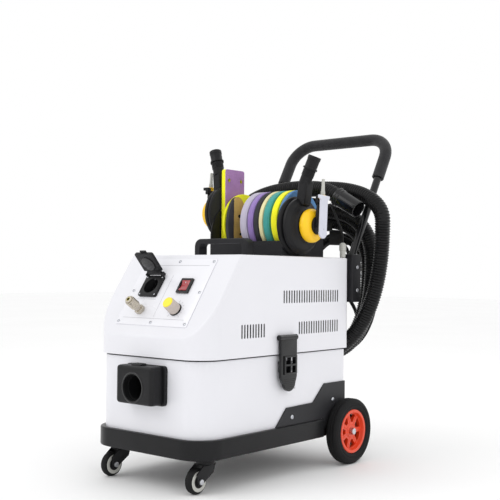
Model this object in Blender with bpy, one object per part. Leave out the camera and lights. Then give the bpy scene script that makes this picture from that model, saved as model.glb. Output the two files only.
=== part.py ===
"""Mobile dust extractor for dry sanding: wheeled tank, lift-off head, tool rack and hoses.

Metres, +Z up. The front, with the suction inlet and the control panel, faces -Y. Everything is laid
out about the middle of the casing's footprint and then carried by one empty, so that the origin ends
up on the floor under the middle of the whole machine.
"""
import math

import bmesh
import bpy
from mathutils import Matrix, Vector

# ---------------------------------------------------------------- driving dimensions
MACHINE_SHIFT_Y = -0.0905          # casing centre to the middle of the whole machine
GAP = 0.0003                       # between pieces that touch

TRAY_SIZE = (0.334, 0.519)
TRAY_Z = (0.0685, 0.1085)
TRAY_CORNER = 0.062
TANK_SIZE = (0.3154, 0.5018)
TANK_Z = (0.1028, 0.2625)
TANK_WALL = 0.004
HEAD_SIZE = (0.325, 0.5114)
HEAD_Z = (0.2655, 0.4767)
HEAD_WALL = 0.003
FRONT_CORNER = 0.058
REAR_CORNER = 0.020

SLOPE_FOOT_Z = 0.3074              # where the sloped face leaves the front wall
SLOPE_HEAD_Y = -0.1407             # where it meets the top
PANEL_SIZE = (0.210, 0.168)
PANEL_MIDDLE_S = 0.109             # distance up the slope from its foot
PANEL_THICK = 0.0015
SOCKET_AT = (-0.047, 0.120)        # across, up the slope
SWITCH_AT = (0.0505, 0.123)
KNOB_AT = (0.055, 0.065)
COUPLER_AT = (-0.046, 0.060)
LID_OPEN = math.radians(105)

INLET_AT = (0.003, 0.205)          # x, z
INLET_R = 0.0275
INLET_BOX_X = (-0.0475, 0.058)
INLET_BOX_Z = (0.171, 0.249)
INLET_FRONT_Y = -0.290

REAR_WHEEL_AT = (0.181, 0.226, 0.075)
REAR_WHEEL_R = 0.075
REAR_WHEEL_WIDTH = 0.032
RIM_R = 0.0505
AXLE_R = 0.006
SPOKES = 7

CASTER_AT = (0.125, -0.203)
CASTER_TRAIL = 0.027
CASTER_R = 0.026
CASTER_WIDTH = 0.020

LATCH_Y = 0.0075
LATCH_WIDTH = 0.056
LATCH_PIVOT = (0.1694, 0.301)      # x, z

HANDLE_X = 0.150
HANDLE_FOOT = (0.277, 0.372)       # y, z
HANDLE_KNEE = (0.277, 0.475)
HANDLE_TOP = (0.457, 0.787)
HANDLE_BEND = 0.060
TUBE_R = 0.0095
GRIP_R = 0.015
GRIP_END_Z = 0.680

RACK_X = 0.110
RACK_Y = (0.061, 0.219)
RACK_WALL = 0.003
RACK_RIM_Z = 0.5125
RACK_ARC = (0.140, 0.527, 0.079)   # y, z, radius of the end plates' round tops
DISC_R = 0.075
DISC_Z = 0.5575

SANDER_TILT = math.radians(3)
SANDERS = {"right": (1, 0.106, 0.5465), "left": (-1, 0.128, 0.585)}
PEG_R = 0.004

HOSE_R = 0.019
HOSE_PITCH = 0.043
HOSE_START_Y = 0.277
CUFF_R = 0.021
LEAD_R = 0.0045

ALONG_X = Matrix.Rotation(math.radians(90), 4, "Y")
ALONG_Y = Matrix.Rotation(math.radians(-90), 4, "X")


# ---------------------------------------------------------------- scene and object helpers
def clear_scene():
    for old in list(bpy.data.objects):
        bpy.data.objects.remove(old, do_unlink=True)


def empty(name, location, parent=None, tilt_x=0.0):
    holder = bpy.data.objects.new(name, None)
    holder.location = location
    holder.rotation_euler = (tilt_x, 0, 0)
    holder.parent = parent
    bpy.context.collection.objects.link(holder)
    return holder


def material(name, colour, roughness, metallic):
    mat = bpy.data.materials.new(name)
    mat.use_nodes = True
    shader = mat.node_tree.nodes["Principled BSDF"]
    shader.inputs["Base Color"].default_value = (*colour, 1)
    shader.inputs["Roughness"].default_value = roughness
    shader.inputs["Metallic"].default_value = metallic
    return mat


def make(name, bm, look, parent, origin=(0, 0, 0), rotation=(0, 0, 0), side=1):
    """Turn a bmesh into a named object. The mesh is given in the parent's space, before rotation."""
    bmesh.ops.translate(bm, verts=bm.verts, vec=-Vector(origin))
    if side < 0:
        bmesh.ops.scale(bm, verts=bm.verts, vec=(-1, 1, 1))
        origin = (-origin[0], origin[1], origin[2])
    bmesh.ops.remove_doubles(bm, verts=bm.verts, dist=1e-6)
    bmesh.ops.recalc_face_normals(bm, faces=bm.faces)
    mesh = bpy.data.meshes.new(name)
    bm.to_mesh(mesh)
    bm.free()
    mesh.shade_smooth()
    mesh.set_sharp_from_angle(angle=math.radians(32))
    mesh.materials.append(look)
    obj = bpy.data.objects.new(name, mesh)
    obj.location = origin
    obj.rotation_euler = rotation
    obj.parent = parent
    bpy.context.collection.objects.link(obj)
    return obj


def boolean(target, bm, operation="DIFFERENCE", side=1):
    """Cut or join a shape that is given in the target's parent's space."""
    tool = make(f"tool_{target.name}_{len(target.modifiers)}", bm, target.data.materials[0],
                target.parent, side=side)
    tool.matrix_basis = target.matrix_basis @ Matrix.Translation(-target.location)
    tool.hide_render = True
    tool.display_type = "WIRE"
    step = target.modifiers.new(operation.title(), "BOOLEAN")
    step.operation = operation
    step.solver = "EXACT"
    step.object = tool


# ---------------------------------------------------------------- shape helpers
def rounded_outline(half_x, half_y, front, rear, steps=7):
    """Counter-clockwise rectangle about the origin with its own front and rear corner radii."""
    corners = [(-1, -1, 180, front), (1, -1, 270, front), (1, 1, 0, rear), (-1, 1, 90, rear)]
    points = []
    for sx, sy, start, radius in corners:
        for step in range(steps + 1):
            angle = math.radians(start + 90 * step / steps)
            points.append((sx * (half_x - radius) + radius * math.cos(angle),
                           sy * (half_y - radius) + radius * math.sin(angle)))
    return points


def arc(centre, radius, start, end, steps):
    """Points on a circle, in degrees, both ends included."""
    return [(centre[0] + radius * math.cos(math.radians(start + (end - start) * i / steps)),
             centre[1] + radius * math.sin(math.radians(start + (end - start) * i / steps)))
            for i in range(steps + 1)]


def prism(outline, low, high, axis="Z", bm=None):
    """Extrude an outline. axis X takes (y, z) points, axis Y takes (x, z) points."""
    bm = bm or bmesh.new()
    place = {"X": lambda a, b, h: (h, a, b), "Y": lambda a, b, h: (a, h, b), "Z": lambda a, b, h: (a, b, h)}[axis]
    ends = [[bm.verts.new(place(a, b, h)) for a, b in outline] for h in (low, high)]
    count = len(outline)
    bm.faces.new(ends[0][::-1])
    bm.faces.new(ends[1])
    for i in range(count):
        j = (i + 1) % count
        bm.faces.new((ends[0][i], ends[0][j], ends[1][j], ends[1][i]))
    bmesh.ops.recalc_face_normals(bm, faces=bm.faces)
    return bm


def box(low, high, bm=None):
    outline = [(low[0], low[1]), (high[0], low[1]), (high[0], high[1]), (low[0], high[1])]
    return prism(outline, low[2], high[2], bm=bm)


def lathe(profile, steps=32, matrix=None, bm=None):
    """Turn a closed (radius, height) profile about local Z."""
    bm = bm or bmesh.new()
    matrix = matrix or Matrix.Identity(4)
    rings = []
    for radius, height in profile:
        if radius < 1e-7:
            rings.append([bm.verts.new(matrix @ Vector((0, 0, height)))])
            continue
        rings.append([bm.verts.new(matrix @ Vector((radius * math.cos(2 * math.pi * i / steps),
                                                    radius * math.sin(2 * math.pi * i / steps), height)))
                      for i in range(steps)])
    closed = profile[0][0] > 1e-7
    for k in range(len(rings) if closed else len(rings) - 1):
        a, b = rings[k], rings[(k + 1) % len(rings)]
        for i in range(steps):
            j = (i + 1) % steps
            corners = [a[i % len(a)], a[j % len(a)], b[j % len(b)], b[i % len(b)]]
            bm.faces.new(list(dict.fromkeys(corners)))
    bmesh.ops.recalc_face_normals(bm, faces=bm.faces)
    return bm


def rod(start, end, radius, steps=20, end_radius=None, bm=None):
    """A round bar or cone between two points."""
    start, end = Vector(start), Vector(end)
    length = (end - start).length
    matrix = Matrix.Translation(start) @ (end - start).to_track_quat("Z", "Y").to_matrix().to_4x4()
    tip = radius if end_radius is None else end_radius
    return lathe([(0, 0), (radius, 0), (tip, length), (0, length)], steps, matrix, bm)


def bevel_edges(bm, width, segments=2, wanted=lambda edge: True):
    bm.normal_update()
    edges = [e for e in bm.edges if e.calc_face_angle(0) > math.radians(28) and wanted(e)]
    bmesh.ops.bevel(bm, geom=edges, offset=width, segments=segments, profile=0.6, affect="EDGES")
    return bm


def rounded_path(points, radius, steps=6):
    """A polyline with each inner corner replaced by an arc."""
    points = [Vector(p) for p in points]
    path = [points[0]]
    for before, corner, after in zip(points, points[1:], points[2:]):
        to_before, to_after = (before - corner).normalized(), (after - corner).normalized()
        half = to_before.angle(to_after) / 2
        centre = corner + (to_before + to_after).normalized() * (radius / math.sin(half))
        first = corner + to_before * (radius / math.tan(half)) - centre
        last = corner + to_after * (radius / math.tan(half)) - centre
        turn = first.angle(last)
        for i in range(steps + 1):
            t = i / steps
            path.append(centre + (first * math.sin((1 - t) * turn) + last * math.sin(t * turn)) / math.sin(turn))
    return path + [points[-1]]


def pipe(path, radius, bore=0.0, steps=14):
    """A round bar, or a tube with a bore, swept along a path without twisting."""
    bm = bmesh.new()
    path = [Vector(p) for p in path]
    tangents = [(path[min(i + 1, len(path) - 1)] - path[max(i - 1, 0)]).normalized() for i in range(len(path))]
    side = tangents[0].orthogonal().normalized()
    shells = [[], []]
    for point, tangent in zip(path, tangents):
        side = (side - tangent * side.dot(tangent)).normalized()
        up = tangent.cross(side)
        for shell, reach in zip(shells, (radius, bore)):
            if reach:
                shell.append([bm.verts.new(point + (side * math.cos(a) + up * math.sin(a)) * reach)
                              for a in (2 * math.pi * i / steps for i in range(steps))])
    for shell in shells:
        for a, b in zip(shell, shell[1:]):
            for i in range(steps):
                j = (i + 1) % steps
                bm.faces.new((a[i], a[j], b[j], b[i]))
    for end in (0, -1):
        if bore:
            for i in range(steps):
                j = (i + 1) % steps
                bm.faces.new((shells[0][end][i], shells[0][end][j], shells[1][end][j], shells[1][end][i]))
        else:
            bm.faces.new(shells[0][end])
    bmesh.ops.recalc_face_normals(bm, faces=bm.faces)
    return bm


def strip_outline(points, thick):
    """The outline of a bent sheet whose middle line is the given right-angled polyline."""
    def offset(sign):
        line = []
        for i, (y, z) in enumerate(points):
            normals = []
            for a, b in ((i - 1, i), (i, i + 1)):
                if a >= 0 and b < len(points):
                    run = Vector((points[b][0] - points[a][0], points[b][1] - points[a][1])).normalized()
                    normals.append(Vector((-run.y, run.x)))
            mitre = normals[0] if len(normals) == 1 else (normals[0] + normals[1]) / (1 + normals[0].dot(normals[1]))
            line.append((y + sign * mitre.x * thick / 2, z + sign * mitre.y * thick / 2))
        return line
    return offset(1) + offset(-1)[::-1]


# ---------------------------------------------------------------- hose and lead routes
def blend(value, start, end):
    t = min(max((value - start) / (end - start), 0), 1)
    return t * t * (3 - 2 * t)


def hose_point(turn):
    """Middle line of the hung dust hose; turn counts full turns from the bottom of the first one."""
    second, third = blend(turn, 0.72, 1.2), blend(turn, 1.75, 2.2)

    def size(first, middle, last):
        return first + (middle - first) * second + (last - middle) * third
    half_width = size(0.218, 0.162, 0.150)
    middle_x, middle_z = size(0, 0, -0.027), size(0.560, 0.460, 0.445)
    rise, fall = size(0.093, 0.140, 0.132), size(0.324, 0.225, 0.210)
    angle = 2 * math.pi * (turn - 0.25)
    across, up = math.cos(angle), math.sin(angle)
    return Vector((middle_x + half_width * math.copysign(abs(across) ** 0.85, across),
                   HOSE_START_Y + HOSE_PITCH * (turn + 0.5),
                   middle_z + (rise if up > 0 else fall) * math.copysign(abs(up) ** 0.85, up)))


def smooth_route(points, count):
    """A Catmull-Rom curve through hand-placed points, evenly sampled."""
    points = [Vector(p) for p in points]
    padded = [points[0] * 2 - points[1], *points, points[-1] * 2 - points[-2]]
    dense = []
    for a, b, c, d in zip(padded, padded[1:], padded[2:], padded[3:]):
        for i in range(16):
            t = i / 16
            dense.append(0.5 * (2 * b + (c - a) * t + (2 * a - 5 * b + 4 * c - d) * t ** 2
                                + (3 * b - a - 3 * c + d) * t ** 3))
    return even_points(dense + [points[-1]], count)


def even_points(dense, count):
    runs = [0.0]
    for a, b in zip(dense, dense[1:]):
        runs.append(runs[-1] + (b - a).length)
    result, k = [], 0
    for i in range(count):
        want = runs[-1] * i / (count - 1)
        while k < len(runs) - 2 and runs[k + 1] < want:
            k += 1
        result.append(dense[k].lerp(dense[k + 1], (want - runs[k]) / max(runs[k + 1] - runs[k], 1e-9)))
    return result


def cord(name, points, radius, look, parent):
    """A plain round cord as a curve with filled ends."""
    data = bpy.data.curves.new(name, "CURVE")
    data.dimensions = "3D"
    spline = data.splines.new("POLY")
    spline.points.add(len(points) - 1)
    for target, point in zip(spline.points, points):
        target.co = (*point, 1)
    data.bevel_depth = radius
    data.bevel_resolution = 2
    data.use_fill_caps = True
    data.materials.append(look)
    obj = bpy.data.objects.new(name, data)
    obj.parent = parent
    bpy.context.collection.objects.link(obj)
    return obj


# ---------------------------------------------------------------- materials
clear_scene()
WHITE = material("white_paint", (0.86, 0.86, 0.88), 0.35, 0.0)
CHARCOAL = material("charcoal_paint", (0.035, 0.035, 0.04), 0.45, 0.0)
BLACK = material("black_plastic", (0.02, 0.02, 0.022), 0.5, 0.0)
RUBBER = material("tyre_rubber", (0.015, 0.015, 0.015), 0.8, 0.0)
ORANGE = material("orange_plastic", (0.75, 0.06, 0.02), 0.4, 0.0)
STEEL = material("bright_steel", (0.7, 0.7, 0.72), 0.25, 1.0)
NICKEL = material("nickel", (0.55, 0.5, 0.42), 0.3, 1.0)
YELLOW = material("yellow_rubber", (1.0, 0.66, 0.0), 0.45, 0.0)
RED = material("red_rocker", (0.6, 0.06, 0.08), 0.3, 0.0)
BEIGE = material("beige_plastic", (0.5, 0.43, 0.38), 0.45, 0.0)
FOAM = material("grip_foam", (0.03, 0.03, 0.032), 0.9, 0.0)
LEVER = material("lever_paint", (0.62, 0.63, 0.68), 0.3, 0.3)
LIGHT_GREY = material("grey_plastic", (0.6, 0.6, 0.6), 0.5, 0.0)
PURPLE = material("purple_pad", (0.34, 0.17, 0.38), 0.85, 0.0)
LILAC = material("lilac_disc", (0.47, 0.43, 0.55), 0.85, 0.0)
TEAL = material("teal_disc", (0.04, 0.32, 0.29), 0.85, 0.0)
LEMON = material("lemon_disc", (0.95, 0.95, 0.04), 0.85, 0.0)
CREAM = material("cream_disc", (0.75, 0.68, 0.38), 0.85, 0.0)
BLUE = material("blue_disc", (0.1, 0.22, 0.4), 0.85, 0.0)
TAN = material("tan_abrasive", (0.58, 0.4, 0.14), 0.9, 0.0)
DARK_DISC = material("dark_disc", (0.06, 0.06, 0.07), 0.85, 0.0)

machine = empty("machine", (0, MACHINE_SHIFT_Y, 0))

# ---------------------------------------------------------------- tray, side brackets and axle
tray_bm = prism(rounded_outline(TRAY_SIZE[0] / 2, TRAY_SIZE[1] / 2, TRAY_CORNER, 0.02), *TRAY_Z)
tray = make("base_tray", bevel_edges(tray_bm, 0.003), CHARCOAL, machine)
boolean(tray, prism(rounded_outline(TANK_SIZE[0] / 2 + 0.001, TANK_SIZE[1] / 2 + 0.001, FRONT_CORNER, 0.02),
                    TANK_Z[0] - GAP, 0.15))
boolean(tray, box((-0.150, -0.165, 0.05), (0.150, 0.205, 0.0985)))
wheel_notches = bmesh.new()
for edge in (-1, 1):
    near, far = sorted((edge * 0.1578, edge * 0.2))
    box((near, REAR_WHEEL_AT[1] - 0.079, 0.05), (far, 0.3, 0.15), wheel_notches)
boolean(tray, wheel_notches)
boolean(tray, box((-0.21, REAR_WHEEL_AT[1] - 0.0065, 0.04), (0.21, REAR_WHEEL_AT[1] + 0.0065, 0.0825)))

bracket_outline = [(-0.021, 0.1090), (0.151, 0.1090), (0.151, 0.086), (0.238, 0.086), (0.238, 0.1885),
                   (0.156, 0.1885), (0.113, 0.1495), (0.016, 0.1475)]
for side, word in ((1, "right"), (-1, "left")):
    plate = prism(bracket_outline, 0.1581, 0.1609, "X")
    make(f"side_bracket_{word}", plate, CHARCOAL, machine, side=side)

axle_profile = [(0, -0.196), (0.007, -0.196), (0.008, -0.192), (0.008, -0.1885), (AXLE_R, -0.1885),
                (AXLE_R, 0.1885), (0.008, 0.1885), (0.008, 0.192), (0.007, 0.196), (0, 0.196)]
make("rear_axle", lathe(axle_profile, 16, Matrix.Translation((0, *REAR_WHEEL_AT[1:])) @ ALONG_X),
     STEEL, machine)

# ---------------------------------------------------------------- rear wheels
hub_profile = [(AXLE_R + GAP, -0.014), (0.014, -0.014), (0.016, -0.005), (0.041, -0.004), (0.043, -0.014),
               (RIM_R - 0.0005, -0.014), (RIM_R - 0.0005, 0.013), (0.043, 0.013), (0.041, 0.004),
               (0.016, 0.005), (0.014, 0.0070), (AXLE_R + GAP, 0.0070)]
tyre_profile = [(RIM_R, -0.012), (0.056, -0.0155), (0.066, -0.016), (0.072, -0.0135), (0.0748, -0.009),
                (REAR_WHEEL_R, 0), (0.0748, 0.009), (0.072, 0.0135), (0.066, 0.016), (0.056, 0.0155),
                (RIM_R, 0.012)]
for side, word in ((1, "right"), (-1, "left")):
    centre = (REAR_WHEEL_AT[0], REAR_WHEEL_AT[1], REAR_WHEEL_AT[2])
    place = Matrix.Translation(centre) @ ALONG_X
    make(f"wheel_tyre_{word}", lathe(tyre_profile, 32, place), RUBBER, machine, centre, side=side)
    hub = make(f"wheel_hub_{word}", lathe(hub_profile, 28, place), ORANGE, machine, centre, side=side)
    windows = bmesh.new()
    for spoke in range(SPOKES):
        middle = 360 * (spoke + 0.5) / SPOKES
        outline = (arc(centre[1:], 0.0395, middle - 18, middle + 18, 4)
                   + arc(centre[1:], 0.0205, middle + 10, middle - 10, 2))
        prism(outline, centre[0] - 0.02, centre[0] + 0.02, "X", windows)
    boolean(hub, windows, side=side)

# ---------------------------------------------------------------- casters
for side, word in ((1, "right"), (-1, "left")):
    pivot = (CASTER_AT[0], CASTER_AT[1], 0.062)
    wheel_at = (CASTER_AT[0], CASTER_AT[1] - CASTER_TRAIL, CASTER_R)
    head = lathe([(0, 0.056), (0.017, 0.056), (0.019, 0.058), (0.019, 0.066), (0.016, 0.0681), (0, 0.0681)],
                 16, Matrix.Translation((pivot[0], pivot[1], 0)))
    fork = make(f"caster_fork_{word}", head, BLACK, machine, pivot, side=side)
    cheek = [(pivot[1] + 0.016, 0.0575), (pivot[1] + 0.010, 0.040)]
    cheek += arc((wheel_at[1], wheel_at[2]), 0.0085, -30, -180, 6)
    cheek += [(wheel_at[1] - 0.010, 0.042), (pivot[1] - 0.017, 0.0575)]
    for inner in (0.0112, -0.0142):
        boolean(fork, prism(cheek, pivot[0] + inner, pivot[0] + inner + 0.003, "X"), "UNION", side)
    boolean(fork, box((pivot[0] - 0.0142, pivot[1] - 0.017, 0.0545), (pivot[0] + 0.0142, pivot[1] + 0.016, 0.0585)),
            "UNION", side)
    pin = [(0, -0.0175), (0.0055, -0.0175), (0.0055, -0.0135), (0.004, -0.0135), (0.004, 0.0135),
           (0.0055, 0.0135), (0.0055, 0.0175), (0, 0.0175)]
    boolean(fork, lathe(pin, 10, Matrix.Translation(wheel_at) @ ALONG_X), "UNION", side)
    half = CASTER_WIDTH / 2
    tread = [(0.0043, -half), (0.0125, -half), (0.0135, -half + 0.0015), (0.021, -half + 0.001),
             (0.0248, -half + 0.004), (CASTER_R, 0), (0.0248, half - 0.004), (0.021, half - 0.001),
             (0.0135, half - 0.0015), (0.0125, half), (0.0043, half)]
    make(f"caster_wheel_{word}", lathe(tread, 20, Matrix.Translation(wheel_at) @ ALONG_X), RUBBER,
         machine, wheel_at, side=side)

# ---------------------------------------------------------------- tank
tank_bm = prism(rounded_outline(TANK_SIZE[0] / 2, TANK_SIZE[1] / 2, FRONT_CORNER, REAR_CORNER), *TANK_Z)
tank = make("lower_casing", bevel_edges(tank_bm, 0.0012, 1), WHITE, machine)
boolean(tank, prism(rounded_outline(TANK_SIZE[0] / 2 - TANK_WALL, TANK_SIZE[1] / 2 - TANK_WALL,
                                    FRONT_CORNER - TANK_WALL, REAR_CORNER - TANK_WALL),
                    TANK_Z[0] + TANK_WALL, 0.30))
boolean(tank, rod((INLET_AT[0], -0.30, INLET_AT[1]), (INLET_AT[0], -0.22, INLET_AT[1]), INLET_R, 32))

inlet_bm = box((INLET_BOX_X[0], INLET_FRONT_Y, INLET_BOX_Z[0]),
               (INLET_BOX_X[1], -TANK_SIZE[1] / 2 - GAP, INLET_BOX_Z[1]))
bevel_edges(inlet_bm, 0.009, 3, lambda e: min(v.co.y for v in e.verts) < INLET_FRONT_Y + 0.001)
inlet = make("inlet_housing", inlet_bm, BLACK, machine)
inlet_flange = [(x + 0.007, z + 0.2095) for x, z in rounded_outline(0.057, 0.0405, 0.008, 0.008, 4)]
boolean(inlet, prism(inlet_flange, -TANK_SIZE[1] / 2 - 0.0081, -TANK_SIZE[1] / 2 - GAP, "Y"), "UNION")
boolean(inlet, rod((INLET_AT[0], -0.30, INLET_AT[1]), (INLET_AT[0], -0.22, INLET_AT[1]), INLET_R, 32))
boolean(inlet, box((-0.0130, -0.280, 0.2415), (0.0150, -0.262, 0.26)))
button_bm = bevel_edges(box((-0.0124, -0.2794, 0.2460), (0.0144, -0.2626, 0.2530)), 0.0015)
make("inlet_release_button", button_bm, BLACK, machine, (0.001, -0.271, 0.2460))

# ---------------------------------------------------------------- head casing
def head_shape(inset):
    """The head's outer form, or the same form set in by the wall's thickness and open below."""
    outline = rounded_outline(HEAD_SIZE[0] / 2 - inset, HEAD_SIZE[1] / 2 - inset,
                              FRONT_CORNER - inset, REAR_CORNER - inset)
    bm = prism(outline, HEAD_Z[0] - (0.02 if inset else 0), HEAD_Z[1] - inset)
    foot = Vector((0, -HEAD_SIZE[1] / 2, SLOPE_FOOT_Z)) - SLOPE_NORMAL * inset
    cut = bmesh.ops.bisect_plane(bm, geom=bm.verts[:] + bm.edges[:] + bm.faces[:], dist=1e-6,
                                 plane_co=foot, plane_no=SLOPE_NORMAL, clear_outer=True)
    bmesh.ops.contextual_create(bm, geom=[e for e in cut["geom_cut"] if isinstance(e, bmesh.types.BMEdge)])
    return bm


slope_run = Vector((0, SLOPE_HEAD_Y + HEAD_SIZE[1] / 2, HEAD_Z[1] - SLOPE_FOOT_Z)).normalized()
SLOPE_NORMAL = Vector((0, -slope_run.z, slope_run.y))
slope_tilt = math.atan2(slope_run.z, slope_run.y)
head_bm = bevel_edges(head_shape(0), 0.005, 3, lambda e: min(v.co.z for v in e.verts) > HEAD_Z[0] + 0.001)
head = make("upper_casing", head_bm, WHITE, machine)
boolean(head, head_shape(HEAD_WALL))

vents = bmesh.new()
for y_low, y_high, z_low, z_high, slots in ((0.0, 0.206, 0.374, 0.402, 23), (0.055, 0.205, 0.305, 0.333, 17),
                                            (-0.139, -0.063, 0.304, 0.333, 9)):
    pitch = (y_high - y_low - 0.0045) / (slots - 1)
    for slot in range(slots):
        start = y_low + pitch * slot
        box((-0.18, start, z_low), (0.18, start + 0.0045, z_high), vents)
boolean(head, vents)

panel_frame = empty("panel_frame", (0, -HEAD_SIZE[1] / 2, SLOPE_FOOT_Z), machine, slope_tilt)


def panel_round_hole(centre, radius, low, high):
    return rod((*centre, low), (*centre, high), radius, 28)


def through_panel(target, in_machine_space):
    """Cut the socket's and the switch's holes through a plate that follows the slope."""
    for bm in (panel_round_hole(SOCKET_AT, 0.0215, -0.03, 0.03),
               box((SWITCH_AT[0] - 0.0142, SWITCH_AT[1] - 0.0162, -0.03),
                   (SWITCH_AT[0] + 0.0142, SWITCH_AT[1] + 0.0162, 0.03))):
        if in_machine_space:
            to_machine = (Matrix.Translation((0, -HEAD_SIZE[1] / 2, SLOPE_FOOT_Z))
                          @ Matrix.Rotation(slope_tilt, 4, "X"))
            bmesh.ops.transform(bm, matrix=to_machine, verts=bm.verts)
        boolean(target, bm)


through_panel(head, True)

floor_bm = prism(rounded_outline(HEAD_SIZE[0] / 2 - 0.0075, HEAD_SIZE[1] / 2 - 0.0075, FRONT_CORNER - 0.007,
                                 REAR_CORNER - 0.007), TANK_Z[1] + GAP, HEAD_Z[0] - GAP)
floor = make("head_floor", floor_bm, BLACK, machine)
boolean(floor, prism(rounded_outline(TANK_SIZE[0] / 2 - 0.006, TANK_SIZE[1] / 2 - 0.006, FRONT_CORNER - 0.006,
                                     REAR_CORNER - 0.006), TANK_Z[1] - 0.010, TANK_Z[1] + 0.001), "UNION")

# ---------------------------------------------------------------- control panel
plate_bm = prism([(x, y + PANEL_MIDDLE_S) for x, y in
                  rounded_outline(PANEL_SIZE[0] / 2, PANEL_SIZE[1] / 2, 0.004, 0.004, 3)], GAP, PANEL_THICK)
panel = make("control_panel", plate_bm, WHITE, panel_frame)
through_panel(panel, False)
top = PANEL_THICK + GAP

flange_bm = prism([(x + SOCKET_AT[0], y + SOCKET_AT[1]) for x, y in
                   rounded_outline(0.027, 0.026, 0.005, 0.005, 3)], top, top + 0.005)
socket = make("socket_body", flange_bm, BLACK, panel_frame)
boolean(socket, panel_round_hole(SOCKET_AT, 0.0211, -0.018, top + 0.0015), "UNION")
for edge in (-1, 1):
    ear = sorted((SOCKET_AT[0] + edge * 0.0213, SOCKET_AT[0] + edge * 0.0253))
    boolean(socket, box((ear[0], SOCKET_AT[1] + 0.0225, top + 0.002), (ear[1], SOCKET_AT[1] + 0.0325, top + 0.0115)),
            "UNION")
boolean(socket, panel_round_hole(SOCKET_AT, 0.0185, -0.012, 0.03))

hinge = (SOCKET_AT[0], SOCKET_AT[1] + 0.029, top + 0.0085)
lid_bm = prism([(x + SOCKET_AT[0], y + SOCKET_AT[1] - 0.0035) for x, y in
                rounded_outline(0.027, 0.0245, 0.005, 0.003, 3)], hinge[2] - 0.003, hinge[2] + 0.003)
lid = make("socket_lid", lid_bm, BLACK, panel_frame, hinge, (-LID_OPEN, 0, 0))
boolean(lid, rod((hinge[0] - 0.0210, *hinge[1:]), (hinge[0] + 0.0210, *hinge[1:]), 0.0035, 16), "UNION")
boolean(lid, box((hinge[0] - 0.0205, SOCKET_AT[1] + 0.018, hinge[2] - 0.0022),
                 (hinge[0] + 0.0205, hinge[1], hinge[2] + 0.0022)), "UNION")
boolean(lid, panel_round_hole(SOCKET_AT, 0.0175, hinge[2] - 0.0045, hinge[2] - 0.002), "UNION")
boolean(lid, box((SOCKET_AT[0] - 0.009, SOCKET_AT[1] - 0.033, hinge[2] + 0.0005),
                 (SOCKET_AT[0] + 0.009, SOCKET_AT[1] - 0.026, hinge[2] + 0.003)), "UNION")

bezel_bm = prism([(x + SWITCH_AT[0], y + SWITCH_AT[1]) for x, y in
                  rounded_outline(0.017, 0.018, 0.002, 0.002, 3)], top, top + 0.0045)
bezel = make("switch_bezel", bezel_bm, BLACK, panel_frame)
boolean(bezel, box((SWITCH_AT[0] - 0.0138, SWITCH_AT[1] - 0.0158, -0.012),
                   (SWITCH_AT[0] + 0.0138, SWITCH_AT[1] + 0.0158, top + 0.001)), "UNION")
boolean(bezel, box((SWITCH_AT[0] - 0.0115, SWITCH_AT[1] - 0.0135, -0.010),
                   (SWITCH_AT[0] + 0.0115, SWITCH_AT[1] + 0.0135, 0.03)))
rocker_axis = (SWITCH_AT[0], SWITCH_AT[1], 0.0)
rocker_outline = [(-0.0125, 0.0046), (-0.0118, -0.003), (0, -0.0075), (0.0118, -0.003), (0.0125, 0.0046),
                  (0.0118, 0.0072), (0, 0.0040), (-0.0118, 0.0072)]
rocker_bm = prism([(SWITCH_AT[1] + y, z) for y, z in rocker_outline], SWITCH_AT[0] - 0.0110,
                  SWITCH_AT[0] + 0.0110, "X")
make("switch_rocker", rocker_bm, RED, panel_frame, rocker_axis)

knob_base = top + GAP
knob_profile = [(0, knob_base), (0.0145, knob_base), (0.0145, knob_base + 0.003), (0.0132, knob_base + 0.0045),
                (0.0125, knob_base + 0.0275), (0.0125, knob_base + 0.0290), (0.0115, knob_base + 0.0300),
                (0, knob_base + 0.0300)]
knob = make("pressure_knob", lathe(knob_profile, 24, Matrix.Translation((*KNOB_AT, 0))), BEIGE, panel_frame,
            (*KNOB_AT, knob_base))
coupler_profile = [(0, top + 0.004), (0.0045, top + 0.004), (0.0045, top + 0.044), (0.0078, top + 0.044),
                   (0.0082, top + 0.043), (0.0082, top + 0.010), (0.0112, top + 0.009), (0.0112, top), (0, top)]
make("coupler_body", lathe(coupler_profile, 16, Matrix.Translation((*COUPLER_AT, 0))), NICKEL, panel_frame,
     (*COUPLER_AT, top))
sleeve_profile = [(0.0086, top + 0.017), (0.0100, top + 0.017), (0.0107, top + 0.019), (0.0107, top + 0.038),
                  (0.0100, top + 0.0405), (0.0086, top + 0.0405)]
make("coupler_sleeve", lathe(sleeve_profile, 20, Matrix.Translation((*COUPLER_AT, 0))), NICKEL, panel_frame,
     (*COUPLER_AT, top))

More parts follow.
